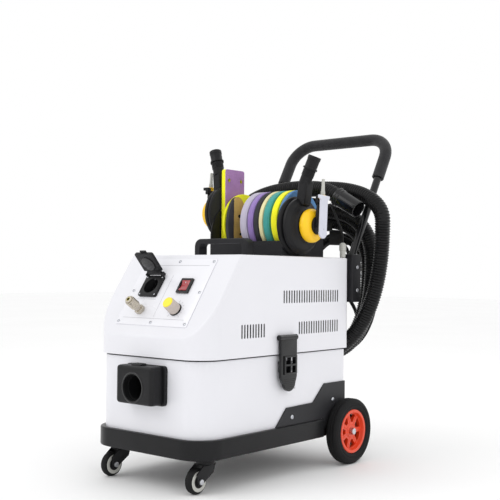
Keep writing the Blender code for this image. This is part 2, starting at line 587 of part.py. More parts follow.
# ---------------------------------------------------------------- latches
for side, word in ((1, "right"), (-1, "left")):
    front, rear = LATCH_Y - LATCH_WIDTH / 2, LATCH_Y + LATCH_WIDTH / 2
    plate = [(rear, 0.300), (front, 0.300), (front, 0.216), (front + 0.006, 0.205)]
    plate += arc((LATCH_Y + 0.002, 0.206), 0.021, 190, 350, 8) + [(rear, 0.216)]
    lever_bm = prism(plate, 0.1665, 0.1735, "X")
    axis_at = (LATCH_PIVOT[0], LATCH_Y, LATCH_PIVOT[1])
    lever = make(f"latch_lever_{word}", bevel_edges(lever_bm, 0.0012, 1), BLACK, machine, axis_at, side=side)
    boolean(lever, rod((LATCH_PIVOT[0], front - 0.003, LATCH_PIVOT[1]),
                       (LATCH_PIVOT[0], rear + 0.001, LATCH_PIVOT[1]), 0.0062, 20), "UNION", side)
    boolean(lever, box((0.1700, front + 0.009, 0.222), (0.1765, rear - 0.003, 0.262)), "UNION", side)
    hollow = bmesh.new()
    for low in (0.2255, 0.2440):
        for start in (front + 0.013, LATCH_Y + 0.003):
            box((0.160, start, low), (0.180, start + 0.016, low + 0.0145), hollow)
    boolean(lever, hollow, side=side)
    catch_bm = box((TANK_SIZE[0] / 2 + GAP, LATCH_Y - 0.020, 0.226), (0.1660, LATCH_Y + 0.020, 0.250))
    make(f"latch_catch_{word}", bevel_edges(catch_bm, 0.0012, 1), BLACK, machine, side=side)

# ---------------------------------------------------------------- carrying handle and rack on the top
deck = HEAD_Z[1] + GAP
grab_outline = [(-0.080, deck)] + arc((-0.062, 0.4985), 0.018, 180, 90, 5)
grab_outline += arc((0.062, 0.4985), 0.018, 90, 0, 5) + [(0.080, deck)]
grab = make("front_handle", bevel_edges(prism(grab_outline, -0.026, 0.0, "Y"), 0.003), CHARCOAL, machine)
window = [(-0.064, 0.47)] + arc((-0.056, 0.497), 0.008, 180, 90, 3)
window += arc((0.056, 0.497), 0.008, 90, 0, 3) + [(0.064, 0.47)]
boolean(grab, prism(window, -0.05, 0.03, "Y"))

rack_bm = box((-RACK_X, RACK_Y[0], deck), (RACK_X, RACK_Y[1], RACK_RIM_Z))
rack = make("tool_rack", rack_bm, CHARCOAL, machine)
end_outline = [(RACK_Y[1], deck + 0.001), (RACK_Y[1], RACK_ARC[1])]
end_outline += arc(RACK_ARC[:2], RACK_ARC[2], 3, 177, 16) + [(RACK_Y[0], RACK_ARC[1]), (RACK_Y[0], deck + 0.001)]
for edge in (-1, 1):
    span = sorted((edge * RACK_X, edge * (RACK_X - RACK_WALL)))
    boolean(rack, prism(end_outline, *span, "X"), "UNION")
boolean(rack, box((-RACK_X + RACK_WALL, RACK_Y[0] + RACK_WALL, deck + RACK_WALL),
                  (RACK_X - RACK_WALL, RACK_Y[1] - RACK_WALL, 0.70)))
for side, y, z in SANDERS.values():
    boolean(rack, rod((side * (RACK_X - 0.002), y, z), (side * (RACK_X + 0.010), y, z), PEG_R, 16), "UNION")

board_outline = [(y + 0.1285, z + 0.5860) for y, z in rounded_outline(0.0345, 0.1045, 0.006, 0.006, 4)]
board = make("sanding_board", bevel_edges(prism(board_outline, -0.104, -0.091, "X"), 0.001, 1), PURPLE, machine)
holes = bmesh.new()
for y in (0.107, 0.151):
    rod((-0.12, y, 0.664), (-0.08, y, 0.664), 0.005, 14, bm=holes)
boolean(board, holes)

discs = {"yellow": (-0.0885, 0.008, LEMON), "lilac": (-0.0210, 0.020, LILAC), "purple": (0.0020, 0.0165, PURPLE),
         "grey": (0.0205, 0.0125, DARK_DISC), "cream": (0.0360, 0.0105, CREAM), "teal": (0.0490, 0.0180, TEAL),
         "lemon": (0.0720, 0.0170, LEMON), "blue": (0.0925, 0.0100, BLUE)}
for word, (start, thick, look) in discs.items():
    soft = min(0.003, thick / 3)
    profile = [(0.0075, 0), (DISC_R - soft, 0), (DISC_R, soft), (DISC_R, thick - soft), (DISC_R - soft, thick),
               (0.0075, thick)]
    at = Matrix.Translation((start, 0.154 if word == "yellow" else RACK_ARC[0], DISC_Z)) @ ALONG_X
    make(f"disc_{word}", lathe(profile, 28, at), look, machine)
oval = [(0.0985 + y * 0.034 / 0.070, z) for y, z in arc((0, 0.5510), 0.0700, 0, 345, 23)]
make("half_moon_pad", bevel_edges(prism(oval, -0.0640, -0.0550, "X"), 0.001, 1), TAN, machine)

# ---------------------------------------------------------------- air sanders hung on the rack's pegs
# Only the right-hand sander carries a squeeze lever.
for word, (side, peg_y, peg_z) in SANDERS.items():
    hang = empty(f"sander_{word}", (side * (RACK_X + GAP), peg_y, peg_z), machine, -SANDER_TILT)
    pad_profile = [(PEG_R + GAP, 0), (0.0665, 0), (0.0680, 0.002), (0.0675, 0.007), (0.058, 0.0115),
                   (PEG_R + GAP, 0.0115)]
    make(f"sander_pad_{word}", lathe(pad_profile, 28, ALONG_X), BLACK, hang, side=side)
    body_profile = [(0, 0.0118), (0.058, 0.0118), (0.0640, 0.016), (0.0640, 0.022), (0.055, 0.029), (0.040, 0.034),
                    (0.037, 0.0378), (0.0192, 0.0378), (0.0192, 0.0650), (0.0175, 0.0665), (0, 0.0665)]
    body = make(f"sander_body_{word}", lathe(body_profile, 28, ALONG_X), BLACK, hang, side=side)
    snout = [(0.0130, 0.045), (0.0370, 0.045), (0.0440, 0.103), (0.0200, 0.103)]
    boolean(body, bevel_edges(prism(snout, -0.020, 0.010, "Y"), 0.004), "UNION", side)
    outlet_profile = [(0, 0), (0.0135, 0), (0.0135, 0.018), (0.0145, 0.019), (0.0145, 0.034), (0.0168, 0.034),
                      (0.0168, 0.0385), (0.0145, 0.0385), (0.0145, 0.058), (0.0152, 0.058), (0.0152, 0.066),
                      (0.0112, 0.066), (0.0112, 0.040), (0, 0.040)]
    outlet_tilt = Vector((0.36, 0.10, 1)).to_track_quat("Z", "Y").to_matrix().to_4x4()
    boolean(body, lathe(outlet_profile, 16, Matrix.Translation((0.0295, -0.009, 0.095)) @ outlet_tilt), "UNION", side)
    arm = [(-0.012, -0.006), (0.012, -0.006), (0.024, 0.045), (0.024, 0.056), (-0.004, 0.056)]
    boolean(body, prism(arm, 0.0630, 0.0690, "X"), "UNION", side)
    lug = [(0.0640, 0.050), (0.0720, 0.050), (0.0720, 0.060), (0.0796, 0.060), (0.0796, 0.067), (0.0640, 0.067)]
    boolean(body, prism(lug, -0.011, 0.001, "Y"), "UNION", side)
    nozzle_profile = [(0, 0), (0.0080, 0), (0.0080, 0.018), (0.0075, 0.0185), (0.0075, 0.027), (0.0056, 0.0275),
                      (0.0034, 0.064), (0, 0.064)]
    boolean(body, lathe(nozzle_profile, 12, Matrix.Translation((0.0705, 0.007, 0.0415))), "UNION", side)
    boolean(body, rod((0.002, 0, 0), (0.016, 0, 0), PEG_R + GAP, 16), side=side)
    dome_profile = [(0.0196, 0.0385), (0.0340, 0.0385), (0.0375, 0.0415), (0.0385, 0.0470), (0.0378, 0.0525),
                    (0.0350, 0.0575), (0.0300, 0.0610), (0.0240, 0.0625), (0.0196, 0.0625)]
    make(f"sander_dome_{word}", lathe(dome_profile, 28, ALONG_X), YELLOW, hang, side=side)
    if side < 0:
        continue
    lever_outline = [(-0.025, 0.0665), (-0.025, 0.0595), (-0.018, 0.0560), (-0.018, -0.016)]
    lever_outline += arc((-0.005, -0.016), 0.0140, 180, 360, 8)
    lever_outline += [(0.008, -0.016), (0.008, 0.0560), (0.015, 0.0595), (0.015, 0.0665)]
    lever_axis = (0.0825, -0.005, 0.0640)
    paddle = bevel_edges(prism(lever_outline, 0.0800, 0.0850, "X"), 0.0012, 1)
    make(f"sander_lever_{word}", paddle, LEVER, hang, lever_axis)


# ---------------------------------------------------------------- push handle and its mount
def handle_path(foot_drop=0.0):
    half = [(HANDLE_X, HANDLE_FOOT[0], HANDLE_FOOT[1] - foot_drop), (HANDLE_X, *HANDLE_KNEE),
            (HANDLE_X, *HANDLE_TOP)]
    return rounded_path(half + [(-x, y, z) for x, y, z in reversed(half)], HANDLE_BEND)


def grip_path():
    lean = (HANDLE_TOP[0] - HANDLE_KNEE[0]) / (HANDLE_TOP[1] - HANDLE_KNEE[1])
    end_y = HANDLE_KNEE[0] + lean * (GRIP_END_Z - HANDLE_KNEE[1])
    corners = [(HANDLE_X, end_y, GRIP_END_Z), (HANDLE_X, *HANDLE_TOP), (-HANDLE_X, *HANDLE_TOP),
               (-HANDLE_X, end_y, GRIP_END_Z)]
    return rounded_path(corners, HANDLE_BEND)


make("handle_tube", pipe(handle_path(), TUBE_R, steps=12), BLACK, machine)
make("handle_grip", pipe(grip_path(), GRIP_R, TUBE_R + 2 * GAP, 12), FOAM, machine)

wall = HEAD_SIZE[1] / 2 + GAP
plate_bm = box((-0.133, wall, 0.430), (0.133, wall + 0.005, 0.474))
mount = make("handle_mount", plate_bm, CHARCOAL, machine)
for edge in (-1, 1):
    span = sorted((edge * 0.132, edge * 0.168))
    sleeve_shape = [(wall, 0.372), (wall + 0.034, 0.372), (wall + 0.038, 0.400), (wall + 0.038, 0.486),
                    (wall + 0.002, 0.486), (wall, 0.484)]
    boolean(mount, prism(sleeve_shape, *span, "X"), "UNION")
hanger = [(wall + 0.002, 0.445), (wall + 0.002, 0.6285), (0.3415, 0.6285), (0.3415, 0.5750), (0.3841, 0.5750),
          (0.3841, 0.5520), (0.4290, 0.5520), (0.4290, 0.5160), (0.4625, 0.5160), (0.4625, 0.5420)]
boolean(mount, prism(strip_outline(hanger, 0.0018), -0.020, 0.020, "X"), "UNION")
park = hose_point(2.75)
park_top = park.z - 0.004
boolean(mount, box((-0.134, wall + 0.030, park_top - 0.030), (-0.126, park.y + 0.004, park_top - 0.014)), "UNION")
boolean(mount, box((park.x + 0.019, park.y - 0.004, park_top - 0.030), (-0.126, park.y + 0.004, park_top - 0.014)),
        "UNION")
boolean(mount, rod((park.x, park.y, park_top - 0.036), (park.x, park.y, park_top + 0.001), 0.0228, 20), "UNION")
boolean(mount, rod((park.x, park.y, park_top - 0.031), (park.x, park.y, park_top + 0.02), 0.0212, 20))
boolean(mount, pipe(handle_path(0.02), TUBE_R + 2 * GAP, steps=12))

# ---------------------------------------------------------------- dust hose, mains lead and air tube
hose_end = [(0.183, 0.270, 0.590), (0.120, 0.268, 0.624), (0.095, 0.269, 0.637), (0.060, 0.271, 0.6475),
            (0.0, 0.2775, 0.653)]
hose_route = smooth_route(hose_end, 40)[15:] + [hose_point(-0.5 + 3.25 * i / 400) for i in range(1, 401)]
hose_route.append(Vector((park.x, park.y, park_top - 0.025)))
hose_line = even_points(hose_route, 80)
cord("dust_hose", hose_line, HOSE_R, BLACK, machine)
collar = hose_line[0]
cuff_axis = (collar - hose_line[1]).normalized()
cuff_bm = lathe([(0.0170, 0.0005), (CUFF_R + 0.002, 0.0005), (CUFF_R + 0.002, 0.006), (CUFF_R, 0.008),
                 (CUFF_R, 0.069), (CUFF_R - 0.001, 0.070), (0.0180, 0.070), (0.0170, 0.066)], 20,
                Matrix.Translation(collar) @ cuff_axis.to_track_quat("Z", "Y").to_matrix().to_4x4())
make("hose_cuff", cuff_bm, BLACK, machine)

gland = Vector((0.070, HEAD_SIZE[1] / 2 + GAP, 0.400))
relief_profile = [(0, 0), (0.0110, 0), (0.0110, 0.006), (0.0085, 0.007), (0.0060, 0.034), (0, 0.034)]
make("strain_relief", lathe(relief_profile, 20, Matrix.Translation(gland) @ ALONG_Y), BLACK, machine)
lead_from = gland + Vector((0, 0.034 + GAP, 0))
COIL_AT = Vector((-0.004, 0.4465, 0.390))
COIL_SIZE = (0.108, 0.146)
COIL_SECTION = 0.0135


def coil_ring(angle):
    return COIL_AT + Vector((COIL_SIZE[0] * math.cos(angle), 0, COIL_SIZE[1] * math.sin(angle)))


coil_bm = bmesh.new()
sections = []
for step in range(32):
    angle = 2 * math.pi * step / 32
    outward = Vector((COIL_SIZE[1] * math.cos(angle), 0, COIL_SIZE[0] * math.sin(angle))).normalized()
    sections.append([coil_bm.verts.new(coil_ring(angle) + COIL_SECTION * (outward * math.cos(a)
                                                                          + Vector((0, math.sin(a), 0))))
                     for a in (2 * math.pi * i / 8 for i in range(8))])
for a, b in zip(sections, sections[1:] + sections[:1]):
    for i in range(8):
        j = (i + 1) % 8
        coil_bm.faces.new((a[i], a[j], b[j], b[i]))
make("mains_lead_coil", coil_bm, BLACK, machine)

join_angle = math.radians(315)
join_out = Vector((COIL_SIZE[1] * math.cos(join_angle), 0, COIL_SIZE[0] * math.sin(join_angle))).normalized()
join_at = coil_ring(join_angle) - join_out * (COIL_SECTION + LEAD_R + 0.001)
lead_points = [lead_from, lead_from + Vector((0, 0.030, -0.001)), (0.072, 0.360, 0.386), (0.073, 0.398, 0.370),
               (0.075, 0.430, 0.350), join_at + Vector((0.0115, -0.002, 0.026)), join_at]
cord("mains_lead", smooth_route(lead_points, 14), LEAD_R, BLACK, machine)
plug_at = Matrix.Translation((0.030, COIL_AT.y, 0.490)) @ Matrix.Rotation(math.radians(150), 4, "Y")
plug_profile = [(0, 0), (0.0060, 0), (0.0085, 0.022), (0.0165, 0.030), (0.0185, 0.046), (0.0185, 0.052),
                (0, 0.052)]
plug = make("mains_plug", lathe(plug_profile, 16, plug_at), BLACK, machine)
pins = bmesh.new()
for offset in (-0.0095, 0.0095):
    rod(plug_at @ Vector((0, offset, 0.051)), plug_at @ Vector((0, offset, 0.070)), 0.0024, 10, bm=pins)
boolean(plug, pins, "UNION")

air_points = [(0.1000, 0.2600, 0.6080), (0.1120, 0.2560, 0.5930), (0.1280, 0.2500, 0.5700), (0.1430, 0.2450, 0.5450),
              (0.1500, 0.2420, 0.5280), (0.1500, 0.2420, 0.5135)]
cord("air_tube", smooth_route(air_points, 12), 0.0025, BLACK, machine)
air_profile = [(0, 0.5127), (0.0035, 0.5127), (0.0075, 0.5090), (0.0085, 0.5030), (0.0085, 0.4950),
               (0.0068, 0.4920), (0.0068, 0.4800), (0.0055, 0.4772), (0, 0.4772)]
make("air_connector", lathe(air_profile, 16, Matrix.Translation((0.150, 0.2420, 0))), LIGHT_GREY, machine)
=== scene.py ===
"""Looks of the mobile dust extractor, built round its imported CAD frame.

Pieces are modelled in metres about the middle of the casing's footprint, as in the CAD, and moved by
SHIFT into the row frame as they are added.
"""
import math

import bmesh
import bpy
from mathutils import Matrix, Vector


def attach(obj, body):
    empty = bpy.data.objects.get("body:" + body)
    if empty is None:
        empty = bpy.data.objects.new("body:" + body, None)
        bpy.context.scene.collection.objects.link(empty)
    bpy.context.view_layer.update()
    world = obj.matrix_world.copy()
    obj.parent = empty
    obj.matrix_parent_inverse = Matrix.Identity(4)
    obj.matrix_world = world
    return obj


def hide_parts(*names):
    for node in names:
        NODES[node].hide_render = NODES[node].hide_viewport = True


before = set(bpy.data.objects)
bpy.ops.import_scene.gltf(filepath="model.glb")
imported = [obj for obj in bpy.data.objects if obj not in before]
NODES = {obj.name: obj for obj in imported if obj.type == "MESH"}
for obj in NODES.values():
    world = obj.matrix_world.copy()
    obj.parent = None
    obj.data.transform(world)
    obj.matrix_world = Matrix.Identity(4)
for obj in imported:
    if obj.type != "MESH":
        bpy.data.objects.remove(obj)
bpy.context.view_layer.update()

SHIFT = Vector((0, -0.0905, 0))
placed = Matrix.Translation
ALONG_X = Matrix.Rotation(math.radians(90), 4, "Y")
ALONG_Y = Matrix.Rotation(math.radians(-90), 4, "X")
SIDES = ((1, "right"), (-1, "left"))
ROUGH_SPREAD = 0.07
BEND_STEPS = 14
DOUBLES_DIST = 1e-6


# ---------------------------------------------------------------- materials
def linear(code):
    """A hex colour as linear RGB."""
    values = [int(code[i:i + 2], 16) / 255 for i in (1, 3, 5)]
    return [v / 12.92 if v <= 0.04045 else ((v + 0.055) / 1.055) ** 2.4 for v in values]


def look(name, code, rough, grain=(700, 0.1), mottle=(14, 0.06), metal=0.0, coat=0.0, sheen=0.0, wear_and_highlight=0.0,
         speckle=None):
    """A procedural surface: mottled colour, uneven roughness, fine grain, and lighter raised edges, partly wear
    and partly a painted highlight.
    """
    mat = bpy.data.materials.new(name)
    mat.use_nodes = True
    tree = mat.node_tree
    nodes, links = tree.nodes, tree.links
    shader = nodes["Principled BSDF"]
    shader.inputs["Metallic"].default_value = metal
    shader.inputs["Coat Weight"].default_value = coat
    shader.inputs["Coat Roughness"].default_value = 0.12
    shader.inputs["Sheen Weight"].default_value = sheen
    shader.inputs["Specular IOR Level"].default_value = 0.22 if max(linear(code)) < 0.06 and not metal else 0.5
    place = nodes.new("ShaderNodeTexCoord")

    def noise(size, detail):
        tex = nodes.new("ShaderNodeTexNoise")
        tex.inputs["Scale"].default_value = size
        tex.inputs["Detail"].default_value = detail
        links.new(place.outputs["Object"], tex.inputs["Vector"])
        return tex.outputs["Fac"]

    def ramp(source, stops):
        node = nodes.new("ShaderNodeValToRGB")
        for element, (at, colour) in zip(node.color_ramp.elements, stops):
            element.position, element.color = at, (*colour, 1)
        links.new(source, node.inputs["Fac"])
        return node.outputs["Color"]

    def mix(amount, first, second):
        node = nodes.new("ShaderNodeMix")
        node.data_type = "RGBA"
        links.new(amount, node.inputs["Factor"])
        links.new(first, node.inputs["A"])
        if isinstance(second, bpy.types.NodeSocket):
            links.new(second, node.inputs["B"])
        else:
            node.inputs["B"].default_value = (*second, 1)
        return node.outputs["Result"]

    base = linear(code)
    clouds = noise(mottle[0], 5)
    dark = [c * (1 - mottle[1]) for c in base]
    light = [min(c * (1 + mottle[1]) + 0.002, 1) for c in base]
    colour = ramp(clouds, [(0.3, dark), (0.7, light)])
    if speckle:
        dots = ramp(noise(speckle[1], 2), [(speckle[2], (0, 0, 0)), (speckle[2] + 0.08, (1, 1, 1))])
        colour = mix(dots, colour, linear(speckle[0]))
    # Raised edges found by pointiness are lightened: edge wear and a painted highlight.
    if wear_and_highlight:
        shape = nodes.new("ShaderNodeNewGeometry")
        edge = ramp(shape.outputs["Pointiness"], [(0.53, (0, 0, 0)), (0.62, (wear_and_highlight, wear_and_highlight, wear_and_highlight))])
        colour = mix(edge, colour, [min(c * 2.2 + 0.04, 1) for c in base])
    links.new(colour, shader.inputs["Base Color"])
    spread_node = nodes.new("ShaderNodeMapRange")
    spread_node.inputs["To Min"].default_value = max(rough - ROUGH_SPREAD, 0.02)
    spread_node.inputs["To Max"].default_value = min(rough + ROUGH_SPREAD, 1)
    links.new(clouds, spread_node.inputs["Value"])
    links.new(spread_node.outputs["Result"], shader.inputs["Roughness"])
    bump = nodes.new("ShaderNodeBump")
    bump.inputs["Strength"].default_value = grain[1]
    bump.inputs["Distance"].default_value = 0.0006
    links.new(noise(grain[0], 3), bump.inputs["Height"])
    links.new(bump.outputs["Normal"], shader.inputs["Normal"])
    return mat


LOOKS = {
    "white_paint": look("white_powder_coat", "#e4e4e9", 0.34, (1100, 0.05), (6, 0.012), coat=0.15),
    "panel_white": look("panel_film", "#e9e9ee", 0.28, (1500, 0.03), (9, 0.012), coat=0.3),
    "panel_print": look("panel_print", "#a9a9ae", 0.4, (900, 0.05), (40, 0.08)),
    "charcoal_paint": look("charcoal_powder_coat", "#1e1e21", 0.46, (900, 0.28), (10, 0.12), wear_and_highlight=0.25),
    "tray_moulding": look("tray_moulding", "#131315", 0.32, (800, 0.12), (12, 0.12), wear_and_highlight=0.2),
    "black_plastic": look("black_moulding", "#151517", 0.4, (800, 0.14), (20, 0.14), wear_and_highlight=0.2),
    "gloss_black": look("gloss_black", "#101012", 0.2, (500, 0.05), (24, 0.2), coat=0.4),
    # inside_shade: near-black that paints the shade inside vents, the inlet bore and holes
    "inside_shade": look("inside_shade", "#0e0e10", 0.8, (600, 0.1), (30, 0.2)),
    "tyre_rubber": look("tyre_rubber", "#141415", 0.72, (650, 0.3), (26, 0.16), wear_and_highlight=0.3),
    "orange_plastic": look("orange_moulding", "#e4431a", 0.36, (700, 0.1), (30, 0.07), coat=0.2),
    "bright_steel": look("zinc_plate", "#c9cbd0", 0.28, (900, 0.12), (120, 0.09), metal=1.0),
    "nickel": look("nickel_plate", "#c4bcae", 0.26, (1200, 0.1), (90, 0.08), metal=0.85),
    "brass": look("brass_bore", "#c9c07a", 0.3, (900, 0.1), (90, 0.1), metal=0.9),
    "yellow_rubber": look("yellow_rubber", "#ffc800", 0.42, (500, 0.12), (22, 0.05), coat=0.1),
    "red_rocker": look("red_rocker", "#a32c34", 0.2, (600, 0.04), (50, 0.08), coat=0.6),
    "beige_plastic": look("warm_grey_moulding", "#c3b8b0", 0.42, (800, 0.1), (30, 0.06)),
    "yellow_cap": look("yellow_cap", "#ffe52e", 0.34, (800, 0.06), (30, 0.04), coat=0.2),
    "grip_foam": look("grip_foam", "#29292b", 0.93, (420, 0.9), (60, 0.2), sheen=0.25),
    "lever_paint": look("lever_lacquer", "#cfd1dd", 0.3, (900, 0.06), (30, 0.05), metal=0.25, coat=0.3),
    "grey_plastic": look("grey_moulding", "#b9b9b3", 0.45, (800, 0.1), (40, 0.07)),
    "hose_plastic": look("hose_plastic", "#141415", 0.34, (500, 0.14), (40, 0.25)),
    "lead_rubber": look("lead_sheath", "#151516", 0.5, (700, 0.16), (40, 0.2)),
    "purple_pad": look("purple_abrasive", "#a279ac", 0.9, (1500, 0.7), (45, 0.09),
                       speckle=("#c7a5cf", 900, 0.62)),
    "plum_disc": look("plum_foam", "#9379b9", 0.92, (900, 0.6), (40, 0.08), sheen=0.2),
    "lilac_disc": look("lilac_foam", "#bcb6c8", 0.92, (900, 0.6), (40, 0.06), sheen=0.2),
    "teal_disc": look("teal_foam", "#3d9c95", 0.9, (900, 0.6), (40, 0.08), sheen=0.15),
    "lemon_disc": look("lemon_foam", "#f7f512", 0.9, (800, 0.6), (40, 0.05), sheen=0.15),
    "cream_disc": look("cream_foam", "#e5dcaa", 0.92, (900, 0.6), (40, 0.06)),
    "blue_disc": look("blue_foam", "#5584b4", 0.9, (900, 0.6), (40, 0.08)),
    "tan_abrasive": look("tan_abrasive", "#c8a75c", 0.92, (1500, 0.7), (50, 0.09),
                         speckle=("#8d7136", 800, 0.6)),
    "dark_disc": look("dark_pad", "#3a3a3f", 0.85, (900, 0.5), (40, 0.12)),
    "black_velour": look("black_velour", "#141414", 0.95, (1300, 0.9), (60, 0.2), sheen=0.3),
}


# ---------------------------------------------------------------- mesh helpers
def object_from(bm, name="part"):
    mesh = bpy.data.meshes.new(name)
    bm.to_mesh(mesh)
    bm.free()
    obj = bpy.data.objects.new(name, mesh)
    bpy.context.scene.collection.objects.link(obj)
    return obj


def add(name, bm, kind, body, matrix=None, replaces=(), smooth=35, side=1):
    """Place a finished bmesh, given in casing-centred metres, as one piece of the visible model."""
    bmesh.ops.remove_doubles(bm, verts=bm.verts, dist=DOUBLES_DIST)
    if side < 0:
        bmesh.ops.scale(bm, verts=bm.verts, vec=(-1, 1, 1))
    if matrix is not None:
        bmesh.ops.transform(bm, matrix=matrix, verts=bm.verts)
    bmesh.ops.translate(bm, verts=bm.verts, vec=SHIFT)
    bmesh.ops.recalc_face_normals(bm, faces=bm.faces)
    obj = object_from(bm, name)
    obj.data.shade_smooth()
    obj.data.set_sharp_from_angle(angle=math.radians(smooth))
    obj.data.materials.append(LOOKS[kind])
    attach(obj, body)
    if replaces:
        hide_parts(*([replaces] if isinstance(replaces, str) else replaces))
    return obj


def keep(node, kind, bevel=0.0):
    """A CAD node whose shape is right stays, with a better material and softened edges."""
    obj = NODES[node]
    obj.data.materials.clear()
    obj.data.materials.append(LOOKS[kind])
    obj.data.shade_smooth()
    obj.data.set_sharp_from_angle(angle=math.radians(32))
    if bevel:
        step = obj.modifiers.new("edges", "BEVEL")
        step.width = bevel
        step.segments = 2
        step.limit_method = "ANGLE"
        step.angle_limit = math.radians(40)
        step.harden_normals = False
    return obj


def boolean(bm, tool, operation):
    """Apply an exact boolean and return the result as a new bmesh."""
    target, cutter = object_from(bm), object_from(tool)
    step = target.modifiers.new("cut", "BOOLEAN")
    step.operation, step.solver, step.object = operation, "EXACT", cutter
    graph = bpy.context.evaluated_depsgraph_get()
    graph.update()
    result = bmesh.new()
    result.from_mesh(target.evaluated_get(graph).to_mesh())
    for obj in (target, cutter):
        mesh = obj.data
        bpy.data.objects.remove(obj)
        bpy.data.meshes.remove(mesh)
    return result


def cut(bm, *tools):
    for tool in tools:
        bm = boolean(bm, tool, "DIFFERENCE")
    return bm


def join(bm, *tools):
    for tool in tools:
        bm = boolean(bm, tool, "UNION")
    return bm


def rounded_outline(half_x, half_y, front, rear, steps=16):
    corners = [(-1, -1, 180, front), (1, -1, 270, front), (1, 1, 0, rear), (-1, 1, 90, rear)]
    points = []
    for sx, sy, start, radius in corners:
        for step in range(steps + 1):
            angle = math.radians(start + 90 * step / steps)
            points.append((sx * (half_x - radius) + radius * math.cos(angle),
                           sy * (half_y - radius) + radius * math.sin(angle)))
    return points


def moved(outline, across, along):
    return [(x + across, y + along) for x, y in outline]


def arc(centre, radius, start, end, steps):
    return [(centre[0] + radius * math.cos(math.radians(start + (end - start) * i / steps)),
             centre[1] + radius * math.sin(math.radians(start + (end - start) * i / steps)))
            for i in range(steps + 1)]


def prism(outline, low, high, axis="Z", bm=None):
    bm = bm or bmesh.new()
    place = {"X": lambda a, b, h: (h, a, b), "Y": lambda a, b, h: (a, h, b), "Z": lambda a, b,
             h: (a, b, h)}[axis]
    ends = [[bm.verts.new(place(a, b, h)) for a, b in outline] for h in (low, high)]
    faces = [bm.faces.new(ends[0][::-1]), bm.faces.new(ends[1])]
    for i in range(len(outline)):
        j = (i + 1) % len(outline)
        faces.append(bm.faces.new((ends[0][i], ends[0][j], ends[1][j], ends[1][i])))
    bmesh.ops.recalc_face_normals(bm, faces=faces)
    return bm


def box(low, high, bm=None):
    outline = [(low[0], low[1]), (high[0], low[1]), (high[0], high[1]), (low[0], high[1])]
    return prism(outline, low[2], high[2], bm=bm)


def box_about(centre, half, low, high):
    return box((centre[0] - half[0], centre[1] - half[1], low),
               (centre[0] + half[0], centre[1] + half[1], high))


def mirrored(inner, outer):
    """The span from inner to outer in X, on the left and on the right."""
    return (-outer, -inner), (inner, outer)


def lathe(profile, steps=64, matrix=None, bm=None):
    """Turn a (radius, height) profile about local Z; it closes on the axis, or on itself for a ring."""
    bm = bm or bmesh.new()
    matrix = matrix or Matrix.Identity(4)
    rings = []
    for radius, height in profile:
        count = 1 if radius < 1e-7 else steps
        rings.append([bm.verts.new(matrix @ Vector((radius * math.cos(2 * math.pi * i / steps),
                                                    radius * math.sin(2 * math.pi * i / steps), height)))
                      for i in range(count)])
    closed = profile[0][0] > 1e-7
    faces = []
    for k in range(len(rings) if closed else len(rings) - 1):
        a, b = rings[k], rings[(k + 1) % len(rings)]
        for i in range(steps):
            j = (i + 1) % steps
            corners = list(dict.fromkeys((a[i % len(a)], a[j % len(a)], b[j % len(b)], b[i % len(b)])))
            faces.append(bm.faces.new(corners))
    bmesh.ops.recalc_face_normals(bm, faces=faces)
    return bm


def soft(profile, radius=0.001, steps=3):
    """Round the corners of a turned profile."""
    points = [Vector(p) for p in profile]
    closed = profile[0][0] > 1e-7
    result = []
    for i, here in enumerate(points):
        before, after = points[i - 1], points[(i + 1) % len(points)]
        if not closed and i in (0, len(points) - 1):
            result.append(tuple(here))
            continue
        one, two = before - here, after - here
        cut = min(radius, one.length * 0.45, two.length * 0.45)
        start, end = here + one.normalized() * cut, here + two.normalized() * cut
        for s in range(steps + 1):
            t = s / steps
            result.append(tuple(start * (1 - t) ** 2 + here * 2 * t * (1 - t) + end * t ** 2))
    return result


def aim(start, direction):
    return placed(start) @ Vector(direction).to_track_quat("Z", "Y").to_matrix().to_4x4()


def rod(start, end, radius, steps=32, bm=None):
    start, end = Vector(start), Vector(end)
    length = (end - start).length
    return lathe([(0, 0), (radius, 0), (radius, length), (0, length)], steps, aim(start, end - start), bm)


def edges_bevel(bm, width, segments=3, wanted=lambda edge: True, angle=28):
    bm.normal_update()
    edges = [e for e in bm.edges if len(e.link_faces) == 2 and e.calc_face_angle(0) > math.radians(angle)
             and wanted(e)]
    bmesh.ops.bevel(bm, geom=edges, offset=width, segments=segments, profile=0.6, affect="EDGES")
    return bm


def tube(path, radius, steps=20, bore=0.0):
    """A round tube along a path; radius may be a list with one value for each point."""
    bm = bmesh.new()
    radii = radius if isinstance(radius, list) else [radius] * len(path)
    tangents = [(path[min(i + 1, len(path) - 1)] - path[max(i - 1, 0)]).normalized() for i in range(len(path))]
    side = tangents[0].orthogonal().normalized()
    shells = [[], []]
    for point, tangent, reach in zip(path, tangents, radii):
        side = (side - tangent * side.dot(tangent)).normalized()
        up = tangent.cross(side)
        for shell, r in zip(shells, (reach, bore)):
            if r:
                shell.append([bm.verts.new(point + (side * math.cos(a) + up * math.sin(a)) * r)
                              for a in (2 * math.pi * i / steps for i in range(steps))])
    for shell in shells:
        for a, b in zip(shell, shell[1:]):
            for i in range(steps):
                j = (i + 1) % steps
                bm.faces.new((a[i], a[j], b[j], b[i]))
    for end in (0, -1):
        if bore:
            for i in range(steps):
                j = (i + 1) % steps
                bm.faces.new((shells[0][end][i], shells[0][end][j], shells[1][end][j], shells[1][end][i]))
        else:
            bm.faces.new(shells[0][end])
    return bm


def rounded_path(points, radius):
    points = [Vector(p) for p in points]
    path = [points[0]]
    for before, corner, after in zip(points, points[1:], points[2:]):
        to_before, to_after = (before - corner).normalized(), (after - corner).normalized()
        half = to_before.angle(to_after) / 2
        centre = corner + (to_before + to_after).normalized() * (radius / math.sin(half))
        first = corner + to_before * (radius / math.tan(half)) - centre
        last = corner + to_after * (radius / math.tan(half)) - centre
        turn = first.angle(last)
        for i in range(BEND_STEPS + 1):
            t = i / BEND_STEPS
            along = first * math.sin((1 - t) * turn) + last * math.sin(t * turn)
            path.append(centre + along / math.sin(turn))
    return path + [points[-1]]


